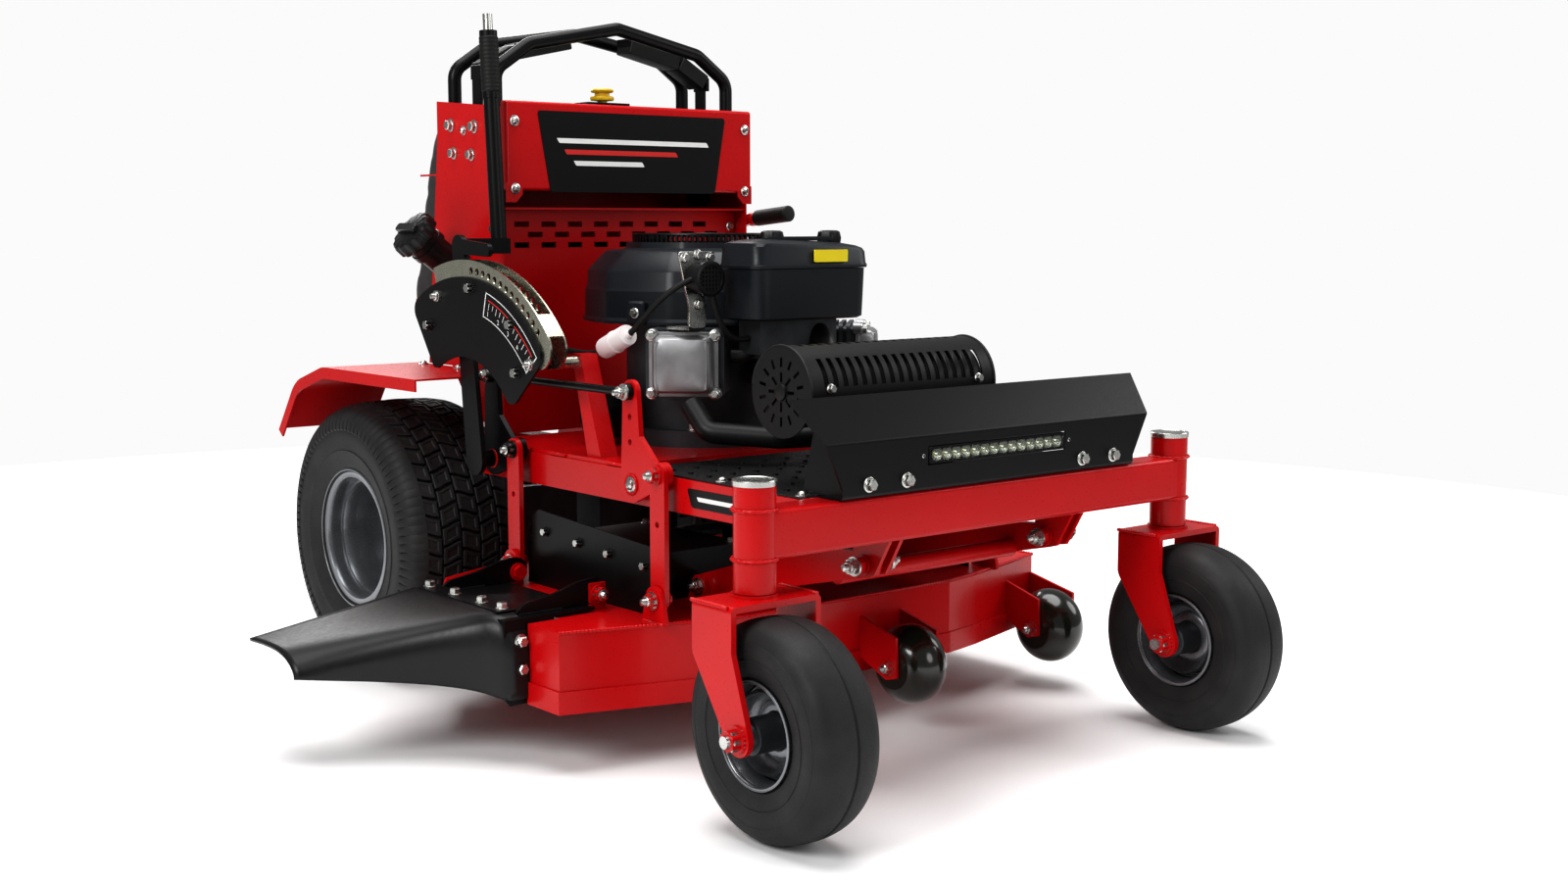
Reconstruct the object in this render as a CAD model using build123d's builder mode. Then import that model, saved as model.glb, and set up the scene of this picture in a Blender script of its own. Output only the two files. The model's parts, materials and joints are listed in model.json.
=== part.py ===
from build123d import *
import math
import os

# Stand-on zero-turn mower with a side-discharge deck.
# Frame: millimetres, origin on the ground midway between the drive wheels,
# +X towards the machine's left, +Y towards the rear, +Z up. The machine faces -Y.

# ---- overall sizes ------------------------------------------------------
track_front = 800.0        # between the caster stems
wheelbase_stem = 1062.0    # drive axle to caster stems
drive_tyre_radius = 228.6
drive_tyre_width = 216.0
drive_track_half = 315.0   # midplane to the middle of each drive tyre
caster_tyre_radius = 139.7
caster_tyre_width = 100.0

# ---- clearances ---------------------------------------------------------
running = 0.05             # radial gap of a shaft in its bore
side_gap = 1.0             # between faces that slide past each other
seat_gap = 0.3             # between faces that nearly meet on different bodies

# ---- main frame ---------------------------------------------------------
rail_outer = 300.0
rail_width = 50.0
rail_bottom = 355.0
rail_height = 48.0
tube_wall = 4.0
beam_depth = 50.0
beam_bottom = 344.0
beam_height = 62.0
head_tube_radius = 27.0
head_tube_bottom = 303.0
head_tube_top = 437.0
rail_end_y = -275.0
cross_tube_depth = 42.0
inner_rail_outer = 178.0
inner_rail_width = 40.0
inner_rail_end_y = 250.0
plate = 6.0
sheet = 3.0

# ---- casters ------------------------------------------------------------
stem_radius = 16.0
fork_plate = 8.0
fork_width = 142.0
fork_depth = 78.0
caster_trail = 54.0
fork_leg_tip = 22.0
caster_axle_radius = 9.5
caster_bead_radius = 64.0
caster_flange_radius = 68.0
caster_hub_radius = 24.0

# ---- drive wheels -------------------------------------------------------
drive_bead_radius = 104.0
drive_flange_radius = 117.0
drive_flange_half = 93.0
drive_disc_x = 300.0
drive_hub_radius = 60.0
axle_radius = 16.0

# ---- engine -------------------------------------------------------------
engine_y = -440.0
engine_base = 415.0
shroud_radius = 196.0
shroud_bottom = 600.0
shroud_top = 712.0
screen_radius = 118.0
crank_radius = 14.0

# ---- operator tower -----------------------------------------------------
tower_half = 250.0
tower_front = -232.0
tower_rear_top = -27.0
tower_rear_foot = 18.0
tower_foot = 515.0
tower_top_front = 939.0
tower_top_rear = 956.0
cover_bottom = 806.0
vent_front = -200.0
bar_radius = 11.0

# ---- deck lift ----------------------------------------------------------
lift_pivot_z = 386.0
front_lift_y = -679.0
rear_lift_y = -300.0
lift_shaft_radius = 12.5
crank_inner = 308.0
crank_plate = 8.0
rod_pin = (3.0, 132.0)       # from a lift pivot, rearward and up
hanger_pin = (-73.0, 22.0)   # from a lift pivot, rearward and up
hanger_length = 176.0
hanger_plate = 8.0
lift_travel = 38.0           # height that the deck drops
strut_x = 177.0
strut_front = (-1030.0, 306.0)
strut_rear = (-668.0, 222.0)

# ---- operator platform --------------------------------------------------
platform_hinge = (300.0, 215.0)
platform_half = 225.0
platform_end = 520.0

# ---- deck ---------------------------------------------------------------
deck_half = 470.0
deck_front = -800.0
deck_rear = -246.0
deck_bottom = 87.0
deck_top = 201.0
deck_plate = 4.0
spindle_x = 222.0
spindle_y = (-565.0, -475.0)  # right, left
blade_radius = 216.0
blade_height = 112.0
chute_front = -641.0
chute_rear = -378.0
chute_hinge = (-342.0, 224.0)
roller_radius = 60.0
roller_places = ((56.0, -864.0, 104.0), (424.0, -807.0, 100.0))

right, left = -1, 1
side_names = {right: "right", left: "left"}
os.makedirs("parts", exist_ok=True)


# ---- drawing helpers ----------------------------------------------------
def save(builder, label):
    """Label a finished piece and write its STEP file."""
    builder.part.label = label
    export_step(builder.part, f"parts/{label}.step")


def span(low, high):
    """The two values in rising order, whichever way round they are given."""
    return min(low, high), max(low, high)


def block(x, y, z, mode=Mode.ADD):
    """A box between the (low, high) pairs along X, Y and Z."""
    x, y, z = span(*x), span(*y), span(*z)
    middle = tuple((low + high) / 2 for low, high in (x, y, z))
    with Locations(middle):
        Box(x[1] - x[0], y[1] - y[0], z[1] - z[0], mode=mode)


def rod(start, end, radius, mode=Mode.ADD):
    """A round bar from one point to another."""
    run = Vector(*end) - Vector(*start)
    with BuildSketch(Plane(origin=start, z_dir=run)) as profile:
        Circle(radius)
    extrude(profile.sketch, amount=run.length, mode=mode)


def plate_x(outline, x, mode=Mode.ADD):
    """A flat plate whose (y, z) outline is extruded between two x values."""
    low, high = span(*x)
    with BuildSketch(Plane.YZ.offset(low)) as profile:
        with BuildLine():
            Polyline(*outline, close=True)
        make_face()
    extrude(profile.sketch, amount=high - low, mode=mode)


def plate_y(outline, y, mode=Mode.ADD):
    """A flat plate whose (x, z) outline is extruded between two y values."""
    low, high = span(*y)
    with BuildSketch(Plane(origin=(0, high, 0), x_dir=(1, 0, 0), z_dir=(0, -1, 0))) as profile:
        with BuildLine():
            Polyline(*outline, close=True)
        make_face()
    extrude(profile.sketch, amount=high - low, mode=mode)


def plate_z(outline, z, mode=Mode.ADD):
    """A flat plate whose (x, y) outline is extruded between two z values."""
    low, high = span(*z)
    with BuildSketch(Plane.XY.offset(low)) as profile:
        with BuildLine():
            Polyline(*outline, close=True)
        make_face()
    extrude(profile.sketch, amount=high - low, mode=mode)


def link_x(ends, x, mode=Mode.ADD):
    """A flat link round the (y, z, radius) circles, between two x values."""
    low, high = span(*x)
    with BuildSketch(Plane.YZ.offset(low)) as profile:
        for y, z, radius in ends:
            with Locations((y, z)):
                Circle(radius)
        make_hull()
    extrude(profile.sketch, amount=high - low, mode=mode)


def hex_head(place, direction, across, height):
    """A hexagon bolt head on its washer, standing out along a direction."""
    washer = across * 0.16
    with BuildSketch(Plane(origin=place, z_dir=direction)) as profile:
        Circle(across * 0.72)
    extrude(profile.sketch, amount=washer)
    top = Vector(*place) + Vector(*direction).normalized() * washer
    with BuildSketch(Plane(origin=top, z_dir=direction)) as profile:
        RegularPolygon(across / 2, 6, major_radius=False)
    extrude(profile.sketch, amount=height)


def mirrored_x(outline, side):
    """An (x, y) or (x, z) outline moved to one side of the midplane."""
    return [(side * x, other) for x, other in outline]


def box_tube(x, y, z, along, wall=tube_wall):
    """A square tube along X or Y, open at its ends."""
    block(x, y, z)
    pad_x = 1 if along == "x" else -wall
    pad_y = 1 if along == "y" else -wall
    x, y, z = span(*x), span(*y), span(*z)
    inner_x = (x[0] - pad_x, x[1] + pad_x)
    inner_y = (y[0] - pad_y, y[1] + pad_y)
    block(inner_x, inner_y, (z[0] + wall, z[1] - wall), Mode.SUBTRACT)


# =========================================================================
# Frame
# =========================================================================
head_x = track_front / 2
stem_y = -wheelbase_stem
beam_rear = stem_y + beam_depth / 2
beam_front = stem_y - beam_depth / 2
beam_top = beam_bottom + beam_height
rail_top = rail_bottom + rail_height
rail_inner = rail_outer - rail_width
strut_pin_radius = 8.0
strut_width = 12.0
lug_gap = strut_width / 2 + side_gap

with BuildPart() as front_beam:
    block((-head_x, head_x), (beam_front, beam_rear), (beam_bottom, beam_top))
    fillet(front_beam.edges().filter_by(Axis.X), 6)
    inner = tube_wall + 2
    block((-head_x, head_x), (beam_front + inner, beam_rear - inner),
          (beam_bottom + inner, beam_top - inner), Mode.SUBTRACT)
    for side in side_names:
        rod((side * head_x, stem_y, head_tube_bottom), (side * head_x, stem_y, head_tube_top),
            head_tube_radius)
    for side in side_names:
        rod((side * head_x, stem_y, head_tube_bottom - 1), (side * head_x, stem_y, head_tube_top + 1),
            stem_radius + running, Mode.SUBTRACT)
    for side in side_names:
        for lug_side in (-lug_gap - plate, lug_gap):
            low = side * strut_x + lug_side
            plate_x([(beam_rear - 3, beam_bottom + 14), (beam_rear - 3, beam_bottom + 3),
                     (beam_rear - 44, beam_bottom + 3), (strut_front[0] - 20, strut_front[1] - 12),
                     (strut_front[0] + 18, strut_front[1] - 18), (strut_front[0] + 22, beam_bottom),
                     (strut_front[0] + 14, beam_bottom + 14)], (low, low + plate))
        pin_reach = lug_gap + plate + 1
        rod((side * strut_x - pin_reach, *strut_front), (side * strut_x + pin_reach, *strut_front),
            strut_pin_radius)
        hex_head((side * strut_x - pin_reach, *strut_front), (-1, 0, 0), 19, 9)
        hex_head((side * strut_x + pin_reach, *strut_front), (1, 0, 0), 19, 9)
save(front_beam, "front_beam")

engine_plate_top = rail_top + plate


def uprights():
    """Slanted posts on the rails that carry the height quadrant."""
    for side in side_names:
        x = (side * (rail_outer - 14), side * (rail_outer - 44))
        plate_x([(-560, rail_top), (-524, rail_top), (-484, 560), (-506, 560)], x)


def platform_brackets():
    """Plates on the rear rails with the platform's hinge pins."""
    for side in side_names:
        x = (side * inner_rail_outer, side * (inner_rail_outer + plate))
        plate_x([(150, rail_bottom + 4), (276, rail_bottom + 4), (316, 232), (312, 200), (286, 196), (150, 318)], x)
        pin_end = side * (inner_rail_outer + 24)
        rod((side * inner_rail_outer, *platform_hinge), (pin_end, *platform_hinge), 7)


with BuildPart() as frame_rails:
    for side in side_names:
        box_tube((side * rail_inner, side * rail_outer), (beam_rear, rail_end_y),
                 (rail_bottom, rail_top), "y")
    for side in side_names:
        inner_edge = inner_rail_outer - inner_rail_width
        box_tube((side * inner_edge, side * inner_rail_outer),
                 (rail_end_y + cross_tube_depth, inner_rail_end_y), (rail_bottom, rail_top), "y")
    box_tube((-rail_outer, rail_outer), (rail_end_y, rail_end_y + cross_tube_depth),
             (rail_bottom, rail_top), "x")
    box_tube((-inner_rail_outer, inner_rail_outer), (inner_rail_end_y, inner_rail_end_y + 30),
             (rail_bottom, rail_top), "x")
    for y in (front_lift_y, rear_lift_y):
        rod((-rail_outer - 1, y, lift_pivot_z), (rail_outer + 1, y, lift_pivot_z),
            lift_shaft_radius + running, Mode.SUBTRACT)
    uprights()
    platform_brackets()
save(frame_rails, "frame_rails")

engine_plate_front = front_lift_y + 40
with BuildPart() as engine_plate:
    block((-rail_outer + 4, rail_outer - 4), (engine_plate_front, tower_front - 4), (rail_top, engine_plate_top))
    rod((0, engine_y, rail_top - 1), (0, engine_y, engine_plate_top + 1), 40, Mode.SUBTRACT)
    for side in side_names:
        block((side * (rail_outer - 13), side * (rail_outer - 45)), (-561, -520), (rail_top, engine_plate_top),
              Mode.SUBTRACT)
save(engine_plate, "engine_plate")

foot_plate_front = beam_rear + 4
with BuildPart() as foot_plate:
    block((-rail_outer + 4, rail_outer - 4), (foot_plate_front, engine_plate_front - 20),
          (rail_top, rail_top + sheet))
    with Locations(Plane(origin=(0, (foot_plate_front + engine_plate_front - 20) / 2, rail_top + sheet))):
        with GridLocations(42, 42, 14, 7):
            Cylinder(4, 3, align=(Align.CENTER, Align.CENTER, Align.MIN))
save(foot_plate, "foot_plate")

# =========================================================================
# Fenders: a bent sheet over each drive tyre
# =========================================================================
fender_outer = 428.0
fender_top = 512.0
fender_line = [(-258, 512), (64, 512), (166, 482), (234, 396)]
with BuildPart() as fenders:
    for side in side_names:
        with BuildSketch(Plane.YZ.offset(side * tower_half if side == left else -fender_outer)):
            with BuildLine():
                spine = FilletPolyline(*fender_line, radius=60)
            trace(line_width=sheet)
        extrude(amount=fender_outer - tower_half)
        inner_edge = side * (fender_outer - sheet)
        with BuildSketch(Plane.YZ.offset(min(inner_edge, side * fender_outer))):
            with BuildLine():
                FilletPolyline(*[(y, z - 9) for y, z in fender_line], radius=60)
            trace(line_width=18)
        extrude(amount=sheet)
save(fenders, "fenders")

# =========================================================================
# Casters
# =========================================================================
axle_y = stem_y - caster_trail
axle_z = caster_tyre_radius
fork_top = head_tube_bottom - side_gap * 5
fork_inner = fork_width / 2 - fork_plate
for side, name in side_names.items():
    x = side * head_x
    with BuildPart() as caster_fork:
        block((x - fork_width / 2, x + fork_width / 2),
              (stem_y - fork_depth / 2 - 4, stem_y + fork_depth / 2 - 4), (fork_top - fork_plate, fork_top))
        for edge in (x - fork_width / 2, x + fork_width / 2 - fork_plate):
            link_x([(stem_y - fork_depth / 2 + 14, fork_top - 60, 18), (stem_y + fork_depth / 2 - 24, fork_top - 60, 20),
                    (axle_y, axle_z, fork_leg_tip)], (edge, edge + fork_plate))
            block((edge, edge + fork_plate), (stem_y - fork_depth / 2 - 4, stem_y + fork_depth / 2 - 4),
                  (fork_top - 60, fork_top - fork_plate))
        corners = caster_fork.edges().filter_by(Axis.Y).group_by(Axis.Z)[-1]
        fillet(corners, fork_plate - 0.5)
        rod((x, stem_y, fork_top), (x, stem_y, fork_top + 4), 30)
        rod((x, stem_y, fork_top), (x, stem_y, head_tube_top - 2), stem_radius)
        rod((x - fork_width / 2 - 3, axle_y, axle_z), (x + fork_width / 2 + 3, axle_y, axle_z),
            caster_axle_radius)
        for way in (-1, 1):
            hex_head((x + way * fork_width / 2, axle_y, axle_z), (way, 0, 0), 24, 12)
    save(caster_fork, f"caster_fork_{name}")

    half = caster_tyre_width / 2
    around_axle = Plane(origin=(x, axle_y, axle_z), x_dir=(1, 0, 0), z_dir=(0, 1, 0))
    with BuildPart() as caster_tyre:
        with BuildSketch(around_axle):
            with BuildLine():
                FilletPolyline((-half * 0.74, caster_bead_radius), (-half * 0.86, caster_bead_radius + 12),
                               (-half, 96), (-half * 0.97, 120), (-half * 0.62, caster_tyre_radius - 2),
                               (0, caster_tyre_radius), (half * 0.62, caster_tyre_radius - 2),
                               (half * 0.97, 120), (half, 96), (half * 0.86, caster_bead_radius + 12),
                               (half * 0.74, caster_bead_radius), radius=7)
                Line((half * 0.74, caster_bead_radius), (-half * 0.74, caster_bead_radius))
            make_face()
        revolve(axis=Axis((x, axle_y, axle_z), (1, 0, 0)))
    save(caster_tyre, f"caster_tyre_{name}")

    with BuildPart() as caster_rim:
        with BuildSketch(around_axle):
            with BuildLine():
                bead = caster_bead_radius - seat_gap
                edge = half * 0.86
                Polyline((-edge - 3, caster_flange_radius), (-edge, caster_flange_radius), (-edge + 2, bead),
                         (edge - 2, bead), (edge, caster_flange_radius), (edge + 3, caster_flange_radius),
                         (edge + 3, bead - 3), (14, bead - 4), (5, bead - 8), (5, caster_hub_radius),
                         (fork_inner - side_gap * 2, caster_hub_radius),
                         (fork_inner - side_gap * 2, caster_axle_radius + running),
                         (-fork_inner + side_gap * 2, caster_axle_radius + running),
                         (-fork_inner + side_gap * 2, caster_hub_radius),
                         (-5, caster_hub_radius), (-5, bead - 8), (-14, bead - 4), (-edge - 3, bead - 3),
                         close=True)
            make_face()
        revolve(axis=Axis((x, axle_y, axle_z), (1, 0, 0)))
    save(caster_rim, f"caster_rim_{name}")

# =========================================================================
# Drive wheels: tyre, rim with hub, axle from the transaxle
# =========================================================================
drive_z = drive_tyre_radius
hub_face = 270.0
lug_circle = 42.0
for side, name in side_names.items():
    x = side * drive_track_half
    half = drive_tyre_width / 2
    axis = Axis((x, 0, drive_z), (1, 0, 0))
    section = Plane(origin=(x, 0, drive_z), x_dir=(1, 0, 0), z_dir=(0, 1, 0))
    crown = drive_tyre_radius
    with BuildPart() as drive_tyre:
        with BuildSketch(section):
            with BuildLine():
                FilletPolyline((-half * 0.8, drive_bead_radius), (-half * 0.87, drive_bead_radius + 16),
                               (-half * 0.99, 150), (-half, 185), (-half * 0.9, crown - 14),
                               (-half * 0.5, crown - 1.5), (0, crown), (half * 0.5, crown - 1.5),
                               (half * 0.9, crown - 14), (half, 185), (half * 0.99, 150),
                               (half * 0.87, drive_bead_radius + 16), (half * 0.8, drive_bead_radius),
                               radius=9)
                Line((half * 0.8, drive_bead_radius), (-half * 0.8, drive_bead_radius))
            make_face()
        revolve(axis=axis)
    save(drive_tyre, f"drive_tyre_{name}")

    disc = side * (drive_disc_x - drive_track_half)
    hub_in = side * (hub_face - drive_track_half)
    bead = drive_bead_radius - seat_gap
    edge = drive_flange_half
    with BuildPart() as drive_rim:
        with BuildSketch(section):
            with BuildLine():
                Polyline((-edge - 4, drive_flange_radius), (-edge, drive_flange_radius), (-edge + 3, bead),
                         (edge - 3, bead), (edge, drive_flange_radius), (edge + 4, drive_flange_radius),
                         (edge + 4, bead - 4), (edge - 30, bead - 5), (-edge - 4, bead - 4), close=True)
            make_face()
        revolve(axis=axis)
        with BuildSketch(section):
            with BuildLine():
                Polyline((disc + side * 4, axle_radius + running), (disc + side * 4, 62),
                         (disc + side * 12, 84), (disc + side * 12, bead - 2), (disc + side * 7, bead - 2),
                         (disc + side * 7, 86), (disc - side * 1, 64), (hub_in + side * 14, drive_hub_radius),
                         (hub_in + side * 6, drive_hub_radius), (hub_in + side * 6, 30), (hub_in, 30),
                         (hub_in, axle_radius + running), close=True)
            make_face()
        revolve(axis=axis)
        for turn in range(4):
            angle = math.radians(45 + 90 * turn)
            stud = (x + disc + side * 4, lug_circle * math.cos(angle), drive_z + lug_circle * math.sin(angle))
            rod(stud, (stud[0] + side * 14, stud[1], stud[2]), 6)
            hex_head(stud, (side, 0, 0), 20, 8)
    save(drive_rim, f"drive_rim_{name}")

transaxle_top = rail_bottom
with BuildPart() as transaxles:
    for side in side_names:
        block((side * 24, side * 196), (-92, 96), (150, 300))
        rod((side * 196, 0, drive_z), (side * 206, 0, drive_z), 44)
        rod((side * 196, 0, drive_z), (side * (drive_disc_x + 3), 0, drive_z), axle_radius)
        rod((side * 92, -20, 300), (side * 92, -20, 316), 34)
        block((side * 139, side * 177), (-60, 60), (300, transaxle_top))
save(transaxles, "transaxles")

# =========================================================================
# Operator tower
# =========================================================================
inside = tower_half - sheet
side_outline = [(tower_front, tower_foot), (tower_front, tower_top_front), (tower_rear_top, tower_top_rear),
                (tower_rear_top, 900), (tower_rear_foot, tower_foot)]
with BuildPart() as tower_sides:
    for side in side_names:
        plate_x(side_outline, (side * tower_half, side * (tower_half - sheet)))
        plate_x([(tower_front + 6, rail_top), (tower_front + 6, tower_foot + 1), (-60, tower_foot + 1), (-90, 480),
                 (-178, 440), (-182, rail_top)], (side * tower_half, side * (tower_half - sheet)))
    for side in side_names:
        for top in (833, 620):
            y = tower_rear_top + (900 - top) * (tower_rear_foot - tower_rear_top) / (900 - tower_foot) - 1
            plate_z([(side * tower_half, y), (side * inside, y), (side * inside, y + 2), (side * (tower_half - 12), y + 2),
                     (side * (tower_half - 12), y + 70), (side * (tower_half - 8), y + 70)], (top, top + sheet))
    rod((-tower_half - 1, -90, 671), (-tower_half + 30, -90, 671), 38, Mode.SUBTRACT)
save(tower_sides, "tower_sides")

with BuildPart() as tower_front_cover:
    block((-tower_half, tower_half), (tower_front - 14, tower_front), (cover_bottom, tower_top_front + 9))
    fillet(tower_front_cover.edges().filter_by(Axis.X).group_by(Axis.Y)[0], 5)
    fillet(tower_front_cover.edges().filter_by(Axis.Z).group_by(Axis.Y)[0], 5)
    block((-tower_half + sheet, tower_half - sheet), (tower_front - 14 + sheet, tower_front + 1),
          (cover_bottom + sheet, tower_top_front + 9 - sheet), Mode.SUBTRACT)
    for side in side_names:
        plate_y([(side * tower_half, cover_bottom + 12), (side * (tower_half - 30), cover_bottom + 12),
                 (side * (tower_half - 30), 800), (side * (tower_half - 18), 787), (side * tower_half, 787)],
                (tower_front - 14, tower_front - 11))
save(tower_front_cover, "tower_front_cover")

vent_slots = ((752, 0), (735, 26), (718, 0))
with BuildPart() as tower_panels:
    block((-inside, inside), (vent_front, vent_front + sheet), (engine_plate_top, 776))
    for z, shift in vent_slots:
        with Locations(Plane(origin=(shift - 13, vent_front, z), x_dir=(1, 0, 0), z_dir=(0, -1, 0))):
            with GridLocations(52, 1, 8, 1):
                Box(28, 9, 20, mode=Mode.SUBTRACT)
    block((-inside, inside), (vent_front - 32 + sheet, vent_front + sheet), (776 - 0.5, 776 + sheet))
    plate_x([(tower_rear_top - sheet, 900), (tower_rear_top - sheet, tower_top_rear - 6),
             (tower_rear_top, tower_top_rear - 6), (tower_rear_top, 900),
             (tower_rear_foot, tower_foot), (tower_rear_foot - sheet, tower_foot)], (-inside + 0.2, inside - 0.2))
save(tower_panels, "tower_panels")

hand_bar_feet = (-192.0, -62.0)
lever_pivot = (-126.0, 800.0)
console_drop = (tower_top_rear - tower_top_front) / (tower_rear_top - tower_front)
with BuildPart() as console_top:
    plate_x([(tower_front + 1, tower_top_front - 4), (tower_front + 1, tower_top_front - 1),
             (tower_rear_top - 1, tower_top_rear - 1), (tower_rear_top - 1, tower_top_rear - 4)],
            (-inside + 0.2, inside - 0.2))
    block((-42, 42), (-172, -128), (tower_top_front + 4, tower_top_front + 18))
    rod((0, -150, tower_top_front - 10), (0, -150, tower_top_front + 20), 8 + running, Mode.SUBTRACT)
    for side in side_names:
        for y_foot in hand_bar_feet:
            rod((side * 235, y_foot, 900), (side * 235, y_foot, 990), bar_radius + seat_gap, Mode.SUBTRACT)
        block((side * 222, side * 236), (lever_pivot[0] - 38, lever_pivot[0] + 38), (900, 990), Mode.SUBTRACT)
save(console_top, "console_top")

pad_half = 235.0
with BuildPart() as back_pad:
    with BuildSketch(Plane.YZ.offset(-pad_half)):
        with BuildLine():
            FilletPolyline((tower_rear_top + 2, 932), (tower_rear_top + 2, 900), (tower_rear_foot + 2, 545),
                           (tower_rear_foot + 2, 532), (118, 532), (150, 560), (158, 640), (122, 770),
                           (86, 905), (70, 932), close=True, radius=12)
        make_face()
    extrude(amount=2 * pad_half)
    fillet(back_pad.edges().filter_by(Plane.YZ).group_by(Axis.X)[0], 10)
    fillet(back_pad.edges().filter_by(Plane.YZ).group_by(Axis.X)[-1], 10)
save(back_pad, "back_pad")

# Fuel tank in the tower, with its neck through the right side plate.
neck_start = (-tower_half + 4, -90, 668)
neck_end = (-322, -90, 728)
neck_way = (Vector(*neck_end) - Vector(*neck_start)).normalized()
with BuildPart() as fuel_tank:
    block((-inside + 4, inside - 4), (-180, -8), (536, 720))
    fillet(fuel_tank.edges(), 14)
    rod(Vector(*neck_end) - neck_way * 104, neck_end, 27)
save(fuel_tank, "fuel_tank")

with BuildPart() as fuel_cap:
    base = Vector(*neck_end) + neck_way * seat_gap
    with BuildSketch(Plane(origin=base, z_dir=neck_way)):
        Circle(39)
        with PolarLocations(39, 12):
            Circle(5, mode=Mode.SUBTRACT)
    extrude(amount=24)
    fillet(fuel_cap.faces().sort_by(Axis(neck_end, tuple(neck_way)))[-1].edges(), 2)
save(fuel_cap, "fuel_cap")

# =========================================================================
# Hand bars: two fixed hoops
# =========================================================================
def hoop(y_foot, y_peak, foot_z, shoulder_z, peak_z):
    """A bent tube from the tower's right shoulder over a low peak to the left one."""
    half = 235.0
    with BuildLine() as path:
        FilletPolyline((-half, y_foot, foot_z), (-half, y_foot, shoulder_z),
                       (-half + 64, y_foot + (y_peak - y_foot) * 0.3, shoulder_z + 44),
                       (0, y_peak, peak_z), (half - 64, y_foot + (y_peak - y_foot) * 0.3, shoulder_z + 44),
                       (half, y_foot, shoulder_z), (half, y_foot, foot_z), radius=30)
    with BuildSketch(Plane(origin=(-half, y_foot, foot_z), z_dir=(0, 0, 1))) as profile:
        Circle(bar_radius)
    sweep(profile.sketch, path=path.line)


with BuildPart() as hand_bars:
    for y_foot, y_peak, lift in ((hand_bar_feet[0], -196, 0), (hand_bar_feet[1], -68, 6)):
        foot_z = tower_top_front + console_drop * (y_foot - tower_front)
        hoop(y_foot, y_peak, foot_z, 1000 + lift, 1078)
        for side in side_names:
            block((side * 215, side * (inside - 0.2)), (y_foot - 20, y_foot + 20), (foot_z - 74, foot_z - 8))
            rod((side * 235, y_foot, foot_z - 9), (side * 235, y_foot, foot_z + 2), bar_radius)
save(hand_bars, "hand_bars")

# =========================================================================
# Steering levers, parking brake, blade switch
# =========================================================================
paddle_line = [(232, 1004), (170, 1040), (60, 1064)]
for side, name in side_names.items():
    with BuildPart() as steering_lever:
        rod((side * (inside - 8), *lever_pivot), (side * (inside - 40), *lever_pivot), 15)
        plate_x([(lever_pivot[0] - 12, 800), (-126 - 12, 992), (-126 + 12, 992), (lever_pivot[0] + 12, 800)],
                (side * 226, side * 232))
        for (x_out, z_out), (x_in, z_in) in zip(paddle_line, paddle_line[1:]):
            plate_y(mirrored_x([(x_out, z_out - 6), (x_in, z_in - 6), (x_in, z_in + 6), (x_out, z_out + 6)], side),
                    (-148, -110))
        block((side * 226, side * 232), (-148, -110), (988, 1004))
    save(steering_lever, f"steering_lever_{name}")

brake_pivot = (-150.0, 742.0)
with BuildPart() as brake_lever:
    rod((tower_half + side_gap, *brake_pivot), (tower_half + 14, *brake_pivot), 16)
    plate_x([(brake_pivot[0] + 12, 732), (brake_pivot[0] + 12, 756), (-236, 770), (-236, 752)],
            (tower_half + 4, tower_half + 14))
    rod((tower_half + 16, -228, 761), (tower_half + 16, -330, 770), 13)
save(brake_lever, "brake_lever")

with BuildPart() as pto_knob:
    rod((0, -150, tower_top_front + 6), (0, -150, 962), 8)
    with BuildSketch(Plane.XY.offset(962)):
        with Locations((0, -150)):
            Circle(20)
    extrude(amount=10)
    with BuildSketch(Plane.XY.offset(972)):
        with Locations((0, -150)):
            Circle(13)
    extrude(amount=10)
    fillet(pto_knob.edges().group_by(Axis.Z)[-1], 3)
save(pto_knob, "pto_knob")

# =========================================================================
# Engine
# =========================================================================
bank_angle = math.radians(45)
head_z = 546.0
fin_height = 104.0
with BuildPart() as engine_block:
    with BuildSketch(Plane.XY.offset(engine_plate_top)):
        with Locations((0, engine_y)):
            Circle(150)
    extrude(amount=26)
    with BuildSketch(Plane.XY.offset(engine_plate_top + 26)):
        with Locations((0, engine_y)):
            Circle(128)
    extrude(amount=shroud_bottom - engine_plate_top - 26)
    for side in side_names:
        out = Vector(side * math.sin(bank_angle), -math.cos(bank_angle), 0)
        for fin in range(9):
            reach = 134 + fin * 12
            start = Vector(0, engine_y, head_z) + out * reach
            with BuildSketch(Plane(origin=start, x_dir=(0, 0, 1), z_dir=out)):
                RectangleRounded(fin_height, 118, 12)
            extrude(amount=6)
        with BuildSketch(Plane(origin=Vector(0, engine_y, head_z) + out * 118, x_dir=(0, 0, 1), z_dir=out)):
            RectangleRounded(92, 96, 8)
        extrude(amount=126)
    block((-90, 60), (-690, -640), (560, 611))
    rod((-10, -664, 500), (-10, -664, 562), 24)
    rod((0, -540, 524), (-10, -664, 524), 20)
    rod((0, engine_y, rail_top - 8), (0, engine_y, shroud_top + 2), crank_radius + running, Mode.SUBTRACT)
save(engine_block, "engine_block")

with BuildPart() as rocker_covers:
    for side in side_names:
        out = Vector(side * math.sin(bank_angle), -math.cos(bank_angle), 0)
        start = Vector(0, engine_y, head_z) + out * 244
        with BuildSketch(Plane(origin=start, x_dir=(0, 0, 1), z_dir=out)):
            RectangleRounded(92, 100, 10)
        extrude(amount=6)
        with BuildSketch(Plane(origin=start + out * 6, x_dir=(0, 0, 1), z_dir=out)):
            RectangleRounded(78, 86, 10)
        extrude(amount=26, taper=8)
save(rocker_covers, "rocker_covers")

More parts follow.
